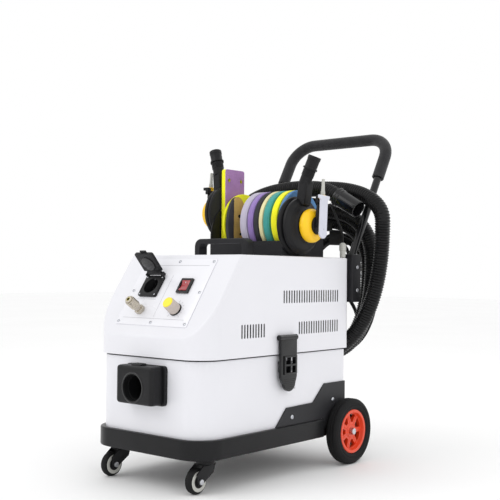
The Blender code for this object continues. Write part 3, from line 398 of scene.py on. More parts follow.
def even_points(dense, count):
    runs = [0.0]
    for a, b in zip(dense, dense[1:]):
        runs.append(runs[-1] + (b - a).length)
    result, k = [], 0
    for i in range(count):
        want = runs[-1] * i / (count - 1)
        while k < len(runs) - 2 and runs[k + 1] < want:
            k += 1
        result.append(dense[k].lerp(dense[k + 1], (want - runs[k]) / max(runs[k + 1] - runs[k], 1e-9)))
    return result


def smooth_route(points, count):
    points = [Vector(p) for p in points]
    padded = [points[0] * 2 - points[1], *points, points[-1] * 2 - points[-2]]
    dense = []
    for a, b, c, d in zip(padded, padded[1:], padded[2:], padded[3:]):
        for i in range(24):
            t = i / 24
            dense.append(0.5 * (2 * b + (c - a) * t + (2 * a - 5 * b + 4 * c - d) * t ** 2
                                + (3 * b - a - 3 * c + d) * t ** 3))
    return even_points(dense + [points[-1]], count)


def run_length(path):
    return sum((b - a).length for a, b in zip(path, path[1:]))


def screw(at, direction, radius=0.0042, height=0.0018, bm=None):
    """A pan-head screw with a cross recess."""
    profile = [(0, -0.001), (radius * 0.5, -0.001), (radius, 0), (radius, height * 0.45),
               (radius * 0.75, height * 0.9),
               (radius * 0.3, height), (0, height)]
    place = aim(at, direction)
    head = lathe(soft(profile, radius * 0.15), 20, place)
    arm, width = radius * 0.55, radius * 0.14
    for a, b in ((arm, width), (width, arm)):
        slot = box((-a, -b, height * 0.45), (a, b, height * 2))
        bmesh.ops.transform(slot, matrix=place, verts=slot.verts)
        head = cut(head, slot)
    if bm is None:
        return head
    merge(bm, head)
    return bm


def merge(bm, other):
    mesh = bpy.data.meshes.new("merge")
    other.to_mesh(mesh)
    other.free()
    bm.from_mesh(mesh)
    bpy.data.meshes.remove(mesh)
    return bm


# ---------------------------------------------------------------- camera, light and floor
CAMERA_AT = Vector((1.37804, -1.55698, 0.43797)) + SHIFT
CAMERA_YAW, CAMERA_PITCH, CAMERA_ROLL = (math.radians(a) for a in (40.11, 1.47, 0.49))
camera = bpy.data.objects.new("camera", bpy.data.cameras.new("camera"))
camera.data.lens = 65.84
ahead = Vector((-math.sin(CAMERA_YAW) * math.cos(CAMERA_PITCH), math.cos(CAMERA_YAW) * math.cos(CAMERA_PITCH),
                math.sin(CAMERA_PITCH)))
right = Vector((math.cos(CAMERA_YAW), math.sin(CAMERA_YAW), 0))
up = right.cross(ahead)
rolled = right * math.cos(CAMERA_ROLL) + up * math.sin(CAMERA_ROLL)
top = rolled.cross(ahead)
camera.matrix_world = placed(CAMERA_AT) @ Matrix((rolled, top, -ahead)).transposed().to_4x4()
bpy.context.scene.collection.objects.link(camera)
bpy.context.scene.camera = camera

bpy.context.scene.view_settings.view_transform = "Standard"
world = bpy.data.worlds.new("studio")
world.use_nodes = True
world.node_tree.nodes["Background"].inputs["Color"].default_value = (1, 1, 1, 1)
world.node_tree.nodes["Background"].inputs["Strength"].default_value = 1.0
bpy.context.scene.world = world
for name, at, size, power in (("key", (-1.2, -2.4, 2.6), 1.8, 16), ("fill", (2.6, -0.8, 1.4), 1.6, 5),
                              ("back", (0.8, 2.2, 2.2), 1.4, 6)):
    light = bpy.data.objects.new(name, bpy.data.lights.new(name, "AREA"))
    light.data.size, light.data.energy = size, power
    light.location = at
    light.rotation_euler = (Vector((0, 0, 0.35)) - Vector(at)).to_track_quat("-Z", "Y").to_euler()
    bpy.context.scene.collection.objects.link(light)
floor_bm = bmesh.new()
bmesh.ops.create_grid(floor_bm, x_segments=2, y_segments=2, size=14)
studio_floor = object_from(floor_bm, "studio_floor")
studio_floor.data.materials.append(look("pale_floor", "#fbfbfb", 0.75, (60, 0.02), (1.5, 0.01)))

# ---------------------------------------------------------------- hose, lead and air tube
HOSE_R = 0.019
HOSE_PITCH = 0.043
HOSE_START_Y = 0.277


def ease(value, start, end):
    t = min(max((value - start) / (end - start), 0), 1)
    return t * t * (3 - 2 * t)


def hose_point(turn):
    """Middle line of the hung dust hose; turn counts full turns from the bottom of the first one."""
    second, third = ease(turn, 0.72, 1.2), ease(turn, 1.75, 2.2)

    def size(first, middle, last):
        return first + (middle - first) * second + (last - middle) * third
    half_width = size(0.218, 0.162, 0.150)
    middle_x, middle_z = size(0, 0, -0.027), size(0.560, 0.460, 0.445)
    rise, fall = size(0.093, 0.140, 0.132), size(0.324, 0.225, 0.210)
    angle = 2 * math.pi * (turn - 0.25)
    across, height = math.cos(angle), math.sin(angle)
    return Vector((middle_x + half_width * math.copysign(abs(across) ** 0.85, across),
                   HOSE_START_Y + HOSE_PITCH * (turn + 0.5),
                   middle_z + (rise if height > 0 else fall) * math.copysign(abs(height) ** 0.85, height)))


park = hose_point(2.75)
park_top = park.z - 0.004
hose_end = [(0.0, 0.2775, 0.653), (0.060, 0.271, 0.6475), (0.095, 0.269, 0.637), (0.120, 0.268, 0.624),
            (0.183, 0.270, 0.590)]
hose_route = [hose_point(2.75 - 3.25 * i / 500) for i in range(500)] + smooth_route(hose_end, 40)[:25]
hose_route.insert(0, Vector((park.x, park.y, park_top - 0.025)))
hose_length = run_length(hose_route)
RIB_PITCH = 0.0062
ribs = int(hose_length / RIB_PITCH)
fine = even_points(hose_route, ribs * 4 + 1)
radii = [HOSE_R - (0.0, 0.0011, 0.0024, 0.0011)[i % 4] for i in range(len(fine))]
hose = add("dust_hose_skin", tube(fine, radii, 24), "hose_plastic", "head", replaces="dust_hose", smooth=70)
collar, before = fine[-1], fine[-6]
cuff_axis = collar - before
cuff_profile = [(0.0172, 0.0005), (0.0232, 0.0005), (0.0232, 0.0060), (0.0216, 0.0070), (0.0216, 0.0100),
                (0.0228, 0.0110), (0.0228, 0.0140), (0.0212, 0.0155), (0.0210, 0.0690), (0.0200, 0.0700),
                (0.0186, 0.0695), (0.0180, 0.0300), (0.0172, 0.0200)]
cuff = add("hose_cuff_shell", lathe(soft(cuff_profile, 0.0006), 64, aim(collar, cuff_axis)), "gloss_black",
           "head",
           replaces="hose_cuff")
row_route = [p + SHIFT for p in even_points(hose_route, 140)]

lead_start = Vector((0.070, 0.2560, 0.400))
relief_profile = [(0, 0), (0.0110, 0), (0.0110, 0.006), (0.0085, 0.007)]
for rib in range(6):
    at, reach = 0.0085 + rib * 0.0042, 0.0083 - rib * 0.0004
    relief_profile += [(reach, at), (reach, at + 0.0026), (reach - 0.0013, at + 0.003),
                       (reach - 0.0013, at + 0.004)]
relief_profile += [(0.0060, 0.034), (0, 0.034)]
relief = add("lead_relief", lathe(relief_profile, 32, placed(lead_start) @ ALONG_Y), "lead_rubber", "head",
             replaces="strain_relief")
COIL_AT = Vector((-0.004, 0.4465, 0.390))
COIL_SIZE = (0.108, 0.146)


def coil_point(turn):
    """The stored lead: each turn lies 60 degrees further round the bundle's section."""
    angle = math.radians(315 - 360 * turn)
    outward = Vector((COIL_SIZE[1] * math.cos(angle), 0, COIL_SIZE[0] * math.sin(angle))).normalized()
    round_section = math.radians(180 + 60 * turn)
    return (COIL_AT + Vector((COIL_SIZE[0] * math.cos(angle), 0, COIL_SIZE[1] * math.sin(angle)))
            + outward * 0.009 * math.cos(round_section) + Vector((0, 0.009 * math.sin(round_section), 0)))


strand = [lead_start + Vector((0, 0.034, 0)), lead_start + Vector((0, 0.064, -0.001)), (0.070, 0.345, 0.396),
          (0.071, 0.375, 0.383), (0.072, 0.402, 0.361), (0.071, 0.424, 0.333), (0.066, 0.438, 0.302)]
coiled = [coil_point(i / 28) for i in range(2, 158)]
lead_end = [(0.006, 0.448, 0.521), (0.020, 0.4468, 0.510), (0.030, 0.4465, 0.490)]
lead_path = smooth_route(strand + coiled + lead_end, 300)
plug_at = placed((0.030, 0.4465, 0.490)) @ Matrix.Rotation(math.radians(150), 4, "Y")
plug_profile = [(0, 0), (0.0060, 0), (0.0068, 0.006), (0.0062, 0.007), (0.0074, 0.013), (0.0068, 0.014),
                (0.0085, 0.022), (0.0165, 0.030), (0.0178, 0.036), (0.0170, 0.038), (0.0178, 0.040),
                (0.0185, 0.046), (0.0185, 0.052), (0, 0.052)]
plug = add("plug_body", lathe(soft(plug_profile, 0.0008), 48, plug_at), "black_plastic", "head",
           replaces="mains_plug")
pins = bmesh.new()
for offset in (-0.0095, 0.0095):
    lathe(soft([(0, 0.051), (0.0024, 0.051), (0.0024, 0.070), (0, 0.070)], 0.001), 20,
          plug_at @ placed((0, offset, 0)), pins)
plug_pins = add("plug_pins", pins, "bright_steel", "head")
lead = add("mains_lead_run", tube(lead_path, 0.0045, 14), "lead_rubber", "head",
           replaces=["mains_lead", "mains_lead_coil"], smooth=60)

air_points = [(0.1000, 0.2600, 0.6080), (0.1120, 0.2560, 0.5930), (0.1280, 0.2500, 0.5700),
              (0.1430, 0.2450, 0.5450),
              (0.1500, 0.2420, 0.5280), (0.1500, 0.2420, 0.5135)]
air_path = smooth_route(air_points, 32)
air_profile = [(0, 0.5127), (0.0035, 0.5127), (0.0075, 0.5090), (0.0085, 0.5030), (0.0079, 0.5015),
               (0.0085, 0.5000),
               (0.0079, 0.4985), (0.0085, 0.4950), (0.0068, 0.4920), (0.0068, 0.4800), (0.0055, 0.4772),
               (0, 0.4772)]
air_end = add("air_coupling", lathe(soft(air_profile, 0.0006), 40, placed((0.150, 0.2420, 0))),
              "grey_plastic", "head", replaces="air_connector")
air = add("air_tube_run", tube(air_path, 0.0025, 16), "lead_rubber", "head", replaces="air_tube", smooth=60)

# ---------------------------------------------------------------- head casing, tank and tray
GAP = 0.0003
TILT = math.atan2(0.1693, 0.115)
SLOPE_NORMAL = Vector((0, -math.sin(TILT), math.cos(TILT)))
PANEL = placed((0, -0.2557, 0.3074)) @ Matrix.Rotation(TILT, 4, "X")
SOCKET = (-0.047, 0.120)
SWITCH = (0.0505, 0.123)
KNOB = (0.055, 0.065)
COUPLER = (-0.046, 0.060)
SOCKET_HOLE_R = 0.0215
SWITCH_HOLE = (0.0142, 0.0162)
INLET_X, INLET_Z = 0.003, 0.205


def on_panel(bm):
    bmesh.ops.transform(bm, matrix=PANEL, verts=bm.verts)
    return bm


def inlet_bore():
    return rod((INLET_X, -0.30, INLET_Z), (INLET_X, -0.22, INLET_Z), 0.0275, 64)


def head_shape(inset):
    """The head's outer form, or the same form set in by the wall's thickness and open below."""
    bm = prism(rounded_outline(0.1625 - inset, 0.2557 - inset, 0.058 - inset, 0.020 - inset),
               0.2655 - (0.02 if inset else 0), 0.4767 - inset)
    cut = bmesh.ops.bisect_plane(bm, geom=bm.verts[:] + bm.edges[:] + bm.faces[:], dist=1e-6, clear_outer=True,
                                 plane_co=Vector((0, -0.2557, 0.3074)) - SLOPE_NORMAL * inset,
                                 plane_no=SLOPE_NORMAL)
    bmesh.ops.contextual_create(bm, geom=[e for e in cut["geom_cut"] if isinstance(e, bmesh.types.BMEdge)])
    return bm


casing = edges_bevel(head_shape(0), 0.005, 5, lambda e: min(v.co.z for v in e.verts) > 0.2665)
casing = cut(casing, head_shape(0.003))
vents, slot_shade = bmesh.new(), bmesh.new()
for y_low, y_high, z_low, z_high, slots in ((0.0, 0.206, 0.374, 0.402, 23), (0.055, 0.205, 0.305, 0.333, 17),
                                            (-0.139, -0.063, 0.304, 0.333, 9)):
    pitch = (y_high - y_low - 0.0045) / (slots - 1)
    for slot in range(slots):
        start = y_low + pitch * slot + 0.00225
        prism(moved(rounded_outline(0.00225, (z_high - z_low) / 2, 0.002, 0.002, 4), start,
                    (z_low + z_high) / 2),
              -0.18, 0.18, "X", vents)
    # Dark sheets just inside the wall behind each vent row: painted shade of the casing's inside seen through
    # the slots.
    for near, far in mirrored(0.1565, 0.1590):
        box((near, y_low - 0.006, z_low - 0.006), (far, y_high + 0.006, z_high + 0.006), slot_shade)
casing = cut(casing, vents,
             on_panel(rod((*SOCKET, -0.03), (*SOCKET, 0.03), SOCKET_HOLE_R, 48)),
             on_panel(box_about(SWITCH, SWITCH_HOLE, -0.03, 0.03)))
for y_low, y_high, z_low, z_high in ((-0.010, 0.215, 0.366, 0.410), (0.045, 0.214, 0.297, 0.341),
                                     (-0.148, -0.054, 0.297, 0.341)):
    for near, far in mirrored(0.150, 0.1615):
        casing = cut(casing, box((near, y_low, z_low), (far, y_high, z_high)))
add("head_casing", casing, "white_paint", "head", replaces="upper_casing", smooth=32)
add("vent_slot_shade", slot_shade, "inside_shade", "head")
keep("head_floor", "black_plastic", 0.0008)

tank = edges_bevel(prism(rounded_outline(0.1577, 0.2509, 0.058, 0.020), 0.1028, 0.2625), 0.0012, 2)
tank = cut(tank, prism(rounded_outline(0.1537, 0.2469, 0.054, 0.016), 0.1068, 0.30),
           inlet_bore())
add("tank_shell", tank, "white_paint", "chassis", replaces="lower_casing", smooth=32)
tray = edges_bevel(prism(rounded_outline(0.167, 0.2595, 0.062, 0.02), 0.0685, 0.1085), 0.004, 4)
tray = cut(tray, prism(rounded_outline(0.1587, 0.2519, 0.058, 0.02), 0.1025, 0.15),
           box((-0.150, -0.165, 0.05), (0.150, 0.205, 0.0985)))
for near, far in mirrored(0.1578, 0.2):
    tray = cut(tray, box((near, 0.147, 0.05), (far, 0.3, 0.15)))
tray = cut(tray, box((-0.21, 0.2195, 0.04), (0.21, 0.2325, 0.0825)))
add("tray_shell", tray, "tray_moulding", "chassis", replaces="base_tray", smooth=32)
for side, word in SIDES:
    keep(f"side_bracket_{word}", "charcoal_paint", 0.0006)
    heads = bmesh.new()
    for y, z in ((0.034, 0.126), (0.188, 0.149)):
        screw((0.1609, y, z), (1, 0, 0), 0.0050, 0.0028, heads)
    add(f"bracket_screws_{word}", heads, "bright_steel", "chassis", side=side)
keep("rear_axle", "bright_steel", 0.0004)

# ---------------------------------------------------------------- suction inlet
block = box((-0.0475, -0.290, 0.171), (0.058, -0.2512, 0.249))
block = edges_bevel(block, 0.009, 7, lambda e: min(v.co.y for v in e.verts) < -0.289)
flange = prism(moved(rounded_outline(0.057, 0.0405, 0.008, 0.008, 8), 0.007, 0.2095), -0.2590, -0.2512, "Y")
block = join(block, edges_bevel(flange, 0.0010, 2, lambda e: max(v.co.y for v in e.verts) < -0.258))
block = cut(block, inlet_bore(),
            box((-0.0130, -0.280, 0.2415), (0.0150, -0.262, 0.26)))
add("inlet_block", block, "black_plastic", "chassis", replaces="inlet_housing")
lip = [(0.0276, -0.0005), (0.0276, 0.0008), (0.0300, 0.0012), (0.0318, 0.0004), (0.0318, -0.0005)]
add("inlet_lip", lathe(soft(lip, 0.0003), 72, aim((INLET_X, -0.290, INLET_Z), (0, -1, 0))), "gloss_black",
    "chassis")
# The inlet's bore lining with its stop ring, made near-black: painted shade inside the bore.
throat_shade = [(0.0272, 0), (0.0272, 0.1000), (0.0262, 0.1000), (0.0262, 0.0905), (0.0247, 0.0900), (0.0247, 0.0870),
          (0.0262, 0.0865), (0.0262, 0)]
add("inlet_throat_shade", lathe(throat_shade, 64, aim((INLET_X, -0.188, INLET_Z), (0, -1, 0))), "inside_shade", "chassis")
button = edges_bevel(box((-0.0124, -0.2794, 0.2460), (0.0144, -0.2626, 0.2530)), 0.0013, 3)
for rib in range(4):
    merge(button, edges_bevel(box((-0.0100, -0.2768 + rib * 0.0036, 0.2524),
                                  (0.0120, -0.2752 + rib * 0.0036, 0.2536)),
                              0.0003, 2))
add("inlet_button_cap", button, "gloss_black", "inlet_button", replaces="inlet_release_button")

# ---------------------------------------------------------------- control panel
TOP = 0.0018
plate = edges_bevel(prism(moved(rounded_outline(0.105, 0.084, 0.004, 0.004, 6), 0, 0.109), GAP, 0.0015), 0.0003,
                    2)
plate = cut(plate, rod((*SOCKET, -0.01), (*SOCKET, 0.01), SOCKET_HOLE_R, 48),
            box_about(SWITCH, SWITCH_HOLE, -0.01, 0.01))
add("panel_plate", plate, "panel_white", "head", PANEL, replaces="control_panel")
heads, rules = bmesh.new(), bmesh.new()
for x in (-0.098, 0, 0.098):
    for y in (0.032, 0.109, 0.186):
        if x or y != 0.109:
            screw((x, y, 0.0015), (0, 0, 1), 0.0036, 0.0016, heads)
add("panel_screws", heads, "bright_steel", "head", PANEL)
for x_low, x_high, y_low, y_high in ((-0.090, 0.090, 0.1755, 0.1763), (-0.090, 0.090, 0.0415, 0.0423),
                                     (-0.0008, 0.0, 0.046, 0.150), (-0.076, -0.018, 0.0885, 0.0891)):
    box((x_low, y_low, 0.00149), (x_high, y_high, 0.00158), rules)
for tick in range(11):
    angle = math.radians(-45 + 27 * tick)
    out = Vector((math.cos(angle), math.sin(angle), 0))
    start, end = Vector((*KNOB, 0)) + out * 0.0178, Vector((*KNOB, 0)) + out * (0.0215 if tick % 5 else 0.0235)
    across = Vector((-out.y, out.x, 0)) * 0.0004
    prism([(p.x, p.y) for p in (start - across, end - across, end + across, start + across)], 0.00149, 0.00158,
          bm=rules)
add("panel_rules", rules, "panel_print", "head", PANEL)

flange = edges_bevel(prism(moved(rounded_outline(0.027, 0.026, 0.005, 0.005, 8), *SOCKET), TOP, TOP + 0.005),
                     0.0010, 3,
                     lambda e: min(v.co.z for v in e.verts) > TOP + 0.004)
flange = cut(flange, rod((*SOCKET, -0.01), (*SOCKET, 0.02), 0.0185, 64))
merge(flange, lathe([(0.0185, -0.018), (0.0211, -0.018), (0.0211, TOP + 0.001), (0.0185, TOP + 0.001)], 64,
                    placed((*SOCKET, 0))))
for edge in (-1, 1):
    ear = sorted((SOCKET[0] + edge * 0.0213, SOCKET[0] + edge * 0.0253))
    merge(flange, edges_bevel(box((ear[0], SOCKET[1] + 0.0225, TOP + 0.002),
                                  (ear[1], SOCKET[1] + 0.0325, TOP + 0.0115)),
                              0.0006, 2))
add("socket_flange", flange, "black_plastic", "head", PANEL, replaces="socket_body")
insert = lathe([(0, -0.0175), (0.0184, -0.0175), (0.0184, -0.012), (0, -0.012)], 48, placed((*SOCKET, 0)))
for offset in (-0.0095, 0.0095):
    insert = cut(insert, rod((SOCKET[0] + offset, SOCKET[1], -0.016), (SOCKET[0] + offset, SOCKET[1], 0.01),
                             0.0026))
add("socket_insert", insert, "gloss_black", "head", PANEL)
clips, heads = bmesh.new(), bmesh.new()
for edge in (-1, 1):
    low, high = sorted((SOCKET[1] + edge * 0.0186, SOCKET[1] + edge * 0.0168))
    box((SOCKET[0] - 0.0025, low, -0.013), (SOCKET[0] + 0.0025, high, 0.004), clips)
    for up_down in (-1, 1):
        screw((SOCKET[0] + edge * 0.0225, SOCKET[1] + up_down * 0.0215, TOP + 0.0048), (0, 0, 1), 0.0019,
              0.0008, heads)
add("socket_earth_clips", clips, "bright_steel", "head", PANEL)
add("socket_screws", heads, "bright_steel", "head", PANEL)
hinge = Vector((SOCKET[0], SOCKET[1] + 0.029, TOP + 0.0085))
LID = PANEL @ placed(hinge) @ Matrix.Rotation(math.radians(-105), 4, "X") @ placed(-hinge)
lid = edges_bevel(prism(moved(rounded_outline(0.027, 0.0245, 0.005, 0.003, 8), SOCKET[0], SOCKET[1] - 0.0035),
                        hinge.z - 0.003, hinge.z + 0.003), 0.0014, 4)
merge(lid, rod((hinge.x - 0.0210, hinge.y, hinge.z), (hinge.x + 0.0210, hinge.y, hinge.z), 0.0035))
merge(lid, box((hinge.x - 0.0205, SOCKET[1] + 0.018, hinge.z - 0.0022),
               (hinge.x + 0.0205, hinge.y, hinge.z + 0.0022)))
merge(lid, edges_bevel(box((SOCKET[0] - 0.009, SOCKET[1] - 0.033, hinge.z + 0.0005),
                           (SOCKET[0] + 0.009, SOCKET[1] - 0.026, hinge.z + 0.003)), 0.0008, 2))
add("socket_lid_cover", lid, "black_plastic", "socket_lid", LID, replaces="socket_lid")
seal = lathe(soft([(0, hinge.z - 0.0045), (0.0175, hinge.z - 0.0045), (0.0175, hinge.z - 0.002),
                   (0, hinge.z - 0.002)],
                  0.0006), 56, placed((*SOCKET, 0)))
add("socket_lid_seal", seal, "gloss_black", "socket_lid", LID)

bezel = edges_bevel(prism(moved(rounded_outline(0.017, 0.018, 0.002, 0.002, 6), *SWITCH), TOP, TOP + 0.0045),
                    0.0012, 3,
                    lambda e: min(v.co.z for v in e.verts) > TOP + 0.004)
bezel = join(bezel, box_about(SWITCH, (0.0138, 0.0158), -0.012, TOP + 0.001))
bezel = cut(bezel, box_about(SWITCH, (0.0115, 0.0135), -0.010, 0.03))
add("switch_frame", bezel, "gloss_black", "head", PANEL, replaces="switch_bezel")
rocker_outline = [(-0.0125, 0.0046), (-0.0118, -0.003), (0, -0.0075), (0.0118, -0.003), (0.0125, 0.0046),
                  (0.0118, 0.0072), (0.006, 0.0050), (0, 0.0042), (-0.006, 0.0050), (-0.0118, 0.0072)]
rocker = edges_bevel(prism(moved(rocker_outline, SWITCH[1], 0), SWITCH[0] - 0.0110, SWITCH[0] + 0.0110, "X"),
                     0.0007, 3)
add("rocker_cap", rocker, "red_rocker", "rocker", PANEL, replaces="switch_rocker")
add("rocker_mark", box((SWITCH[0] - 0.0005, SWITCH[1] + 0.0055, 0.0050),
                       (SWITCH[0] + 0.0005, SWITCH[1] + 0.0090, 0.0063)),
    "panel_white", "rocker", PANEL)

base = TOP + GAP
knob_at = placed((*KNOB, base))
knob = lathe(soft([(0, 0.0028), (0.0134, 0.0028), (0.0131, 0.0045), (0.0125, 0.0272), (0.0120, 0.0276),
                   (0, 0.0276)],
                  0.0004), 72, knob_at)
for rib in range(18):
    angle = 2 * math.pi * rib / 18
    merge(knob, rod(knob_at @ Vector((0.0128 * math.cos(angle), 0.0128 * math.sin(angle), 0.006)),
                    knob_at @ Vector((0.0123 * math.cos(angle), 0.0123 * math.sin(angle), 0.026)), 0.0007, 8))
add("knob_grip", knob, "beige_plastic", "knob", PANEL, replaces="pressure_knob")
add("knob_ring", lathe(soft([(0, 0), (0.0145, 0), (0.0145, 0.0026), (0.0135, 0.0030), (0, 0.0030)], 0.0005), 64,
                       knob_at),
    "black_plastic", "knob", PANEL)
add("knob_cap", lathe(soft([(0, 0.0274), (0.0116, 0.0274), (0.0116, 0.0292), (0.0106, 0.0300), (0, 0.0300)],
                           0.0005), 64,
                      knob_at), "yellow_cap", "knob", PANEL)
coupler_at = placed((*COUPLER, TOP))
hexagon = edges_bevel(prism(arc((0, 0), 0.0112, 0, 300, 5), 0, 0.009), 0.0008, 2)
bmesh.ops.transform(hexagon, matrix=coupler_at, verts=hexagon.verts)
merge(hexagon, lathe(soft([(0.0046, 0.008), (0.0082, 0.008), (0.0082, 0.0425), (0.0076, 0.0440),
                           (0.0046, 0.0440)],
                          0.0004), 56, coupler_at))
add("coupler_stem", hexagon, "nickel", "head", PANEL, replaces="coupler_body")
add("coupler_bore", lathe([(0, 0.004), (0.0045, 0.004), (0.0045, 0.0435), (0.0034, 0.0435), (0.0030, 0.014),
                           (0, 0.014)],
                          40, coupler_at), "brass", "head", PANEL)
sleeve_profile = [(0.0086, 0.017), (0.0100, 0.017), (0.0107, 0.019)]
for rib in range(6):
    sleeve_profile += [(0.0107, 0.0205 + rib * 0.0024), (0.0101, 0.0211 + rib * 0.0024),
                       (0.0107, 0.0217 + rib * 0.0024)]
sleeve_profile += [(0.0107, 0.038), (0.0100, 0.0405), (0.0086, 0.0405)]
add("coupler_ring", lathe(sleeve_profile, 64, coupler_at), "nickel", "sleeve", PANEL, replaces="coupler_sleeve")

# ---------------------------------------------------------------- latches
for side, word in SIDES:
    front, rear = 0.0075 - 0.028, 0.0075 + 0.028
    plate = [(rear, 0.300), (front, 0.300), (front, 0.216), (front + 0.006, 0.205)]
    plate += arc((0.0095, 0.206), 0.021, 190, 350, 24) + [(rear, 0.216)]
    latch = edges_bevel(prism(plate, 0.1665, 0.1735, "X"), 0.0014, 3)
    latch = join(latch, rod((0.1694, front - 0.003, 0.301), (0.1694, rear + 0.001, 0.301), 0.0062, 40),
                 edges_bevel(box((0.1700, front + 0.009, 0.222), (0.1765, rear - 0.003, 0.262)), 0.001, 2))
    for low in (0.2255, 0.2440):
        for start in (front + 0.013, 0.0105):
            latch = cut(latch, box((0.160, start, low), (0.180, start + 0.016, low + 0.0145)))
    for rib in range(6):
        merge(latch, edges_bevel(box((0.1730, 0.0025 - 0.012, 0.1905 + rib * 0.0040),
                                     (0.1741, 0.0165 + 0.012, 0.1918 + rib * 0.0040)), 0.0003, 1))
    add(f"latch_arm_{word}", latch, "gloss_black", f"latch_{word}", replaces=f"latch_lever_{word}", side=side)
    keep(f"latch_catch_{word}", "black_plastic", 0.0006)

# ---------------------------------------------------------------- handle on the top, rack, discs and pads
grab_outline = [(-0.080, 0.4770)] + arc((-0.062, 0.4985), 0.018, 180, 90, 14)
grab_outline += arc((0.062, 0.4985), 0.018, 90, 0, 14) + [(0.080, 0.4770)]
grab = edges_bevel(prism(grab_outline, -0.026, 0.0, "Y"), 0.004, 5, angle=40)
window = [(-0.064, 0.47)] + arc((-0.056, 0.497), 0.008, 180, 90, 8) + arc((0.056, 0.497), 0.008, 90, 0, 8)
grab = cut(grab, prism(window + [(0.064, 0.47)], -0.05, 0.03, "Y"))
add("carry_handle", grab, "charcoal_paint", "head", replaces="front_handle")

rack = box((-0.110, 0.061, 0.4770), (0.110, 0.219, 0.5125))
rack_end = [(0.219, 0.478), (0.219, 0.527)] + arc((0.140, 0.527), 0.079, 3, 177, 56) + [(0.061, 0.527),
                                                                                        (0.061, 0.478)]
for edge in (-1, 1):
    rack = join(rack, prism(rack_end, *sorted((edge * 0.110, edge * 0.107)), "X"))
rack = cut(rack, box((-0.107, 0.064, 0.480), (0.107, 0.216, 0.70)))
SANDERS = ((1, "right", 0.106, 0.5465), (-1, "left", 0.128, 0.585))
for side, word, y, z in SANDERS:
    rack = join(rack, rod((side * 0.108, y, z), (side * 0.120, y, z), 0.004))
add("rack_tray", edges_bevel(rack, 0.0005, 2, angle=60), "charcoal_paint", "head", replaces="tool_rack")

board_outline = moved(rounded_outline(0.0345, 0.1045, 0.006, 0.006, 8), 0.1285, 0.5860)
for name, low, high, kind, swap in (("board_face", -0.0930, -0.0910, "purple_pad", ()),
                                    ("board_foam", -0.1040, -0.0930, "lemon_disc", "sanding_board")):
    board = edges_bevel(prism(board_outline, low, high, "X"), 0.0006, 2)
    for y in (0.107, 0.151):
        board = cut(board, rod((-0.12, y, 0.664), (-0.08, y, 0.664), 0.005, 28))
    add(name, board, kind, "head", replaces=swap)

# Dark discs set in the board's through-holes: painted shade inside the holes.
hole_shade = bmesh.new()
for y in (0.107, 0.151):
    rod((-0.1035, y, 0.664), (-0.0985, y, 0.664), 0.0051, 24, bm=hole_shade)
add("board_hole_shade", hole_shade, "inside_shade", "head")

DISCS = (("yellow", -0.0885, 0.008, "lemon_disc"), ("lilac", -0.0210, 0.020, "lilac_disc"),
         ("purple", 0.0020, 0.0165, "plum_disc"), ("grey", 0.0205, 0.0125, "dark_disc"),
         ("cream", 0.0360, 0.0105, "cream_disc"), ("teal", 0.0490, 0.0180, "teal_disc"),
         ("lemon", 0.0720, 0.0170, "lemon_disc"), ("blue", 0.0925, 0.0100, "blue_disc"))
for word, start, thick, kind in DISCS:
    profile = [(0.0075, 0), (0.075, 0), (0.075, thick), (0.0075, thick)]
    if thick > 0.015:
        profile[2:2] = [(0.075, thick * 0.80), (0.0742, thick * 0.82), (0.0742, thick * 0.84),
                        (0.075, thick * 0.86)]
    at = placed((start, 0.154 if word == "yellow" else 0.140, 0.5575)) @ ALONG_X
    add(f"foam_disc_{word}", lathe(soft(profile, min(0.003, thick / 4), 4), 96, at), kind, "head",
        replaces=f"disc_{word}")
oval = [(0.0985 + y * 0.034 / 0.070, z) for y, z in arc((0, 0.5510), 0.0700, 0, 354, 59)]
add("oval_pad_back", edges_bevel(prism(oval, -0.0640, -0.0556, "X"), 0.001, 2), "dark_disc", "head",
    replaces="half_moon_pad")
face = [(y, z) for y, z in oval if y > 0.083]
add("oval_pad_face", prism(face, -0.0560, -0.0550, "X"), "tan_abrasive", "head")
# Dark discs on the tan face mark the pad's dust holes; their darkness is painted shade of the holes over the
# dark backing.
dust_hole_shade = bmesh.new()
for y, z, reach in ((0.104, 0.575, 0.0045), (0.108, 0.532, 0.0035), (0.098, 0.520, 0.0030)):
    rod((-0.0552, y, z), (-0.0549, y, z), reach, 20, bm=dust_hole_shade)
add("oval_pad_hole_shade", dust_hole_shade, "inside_shade", "head")

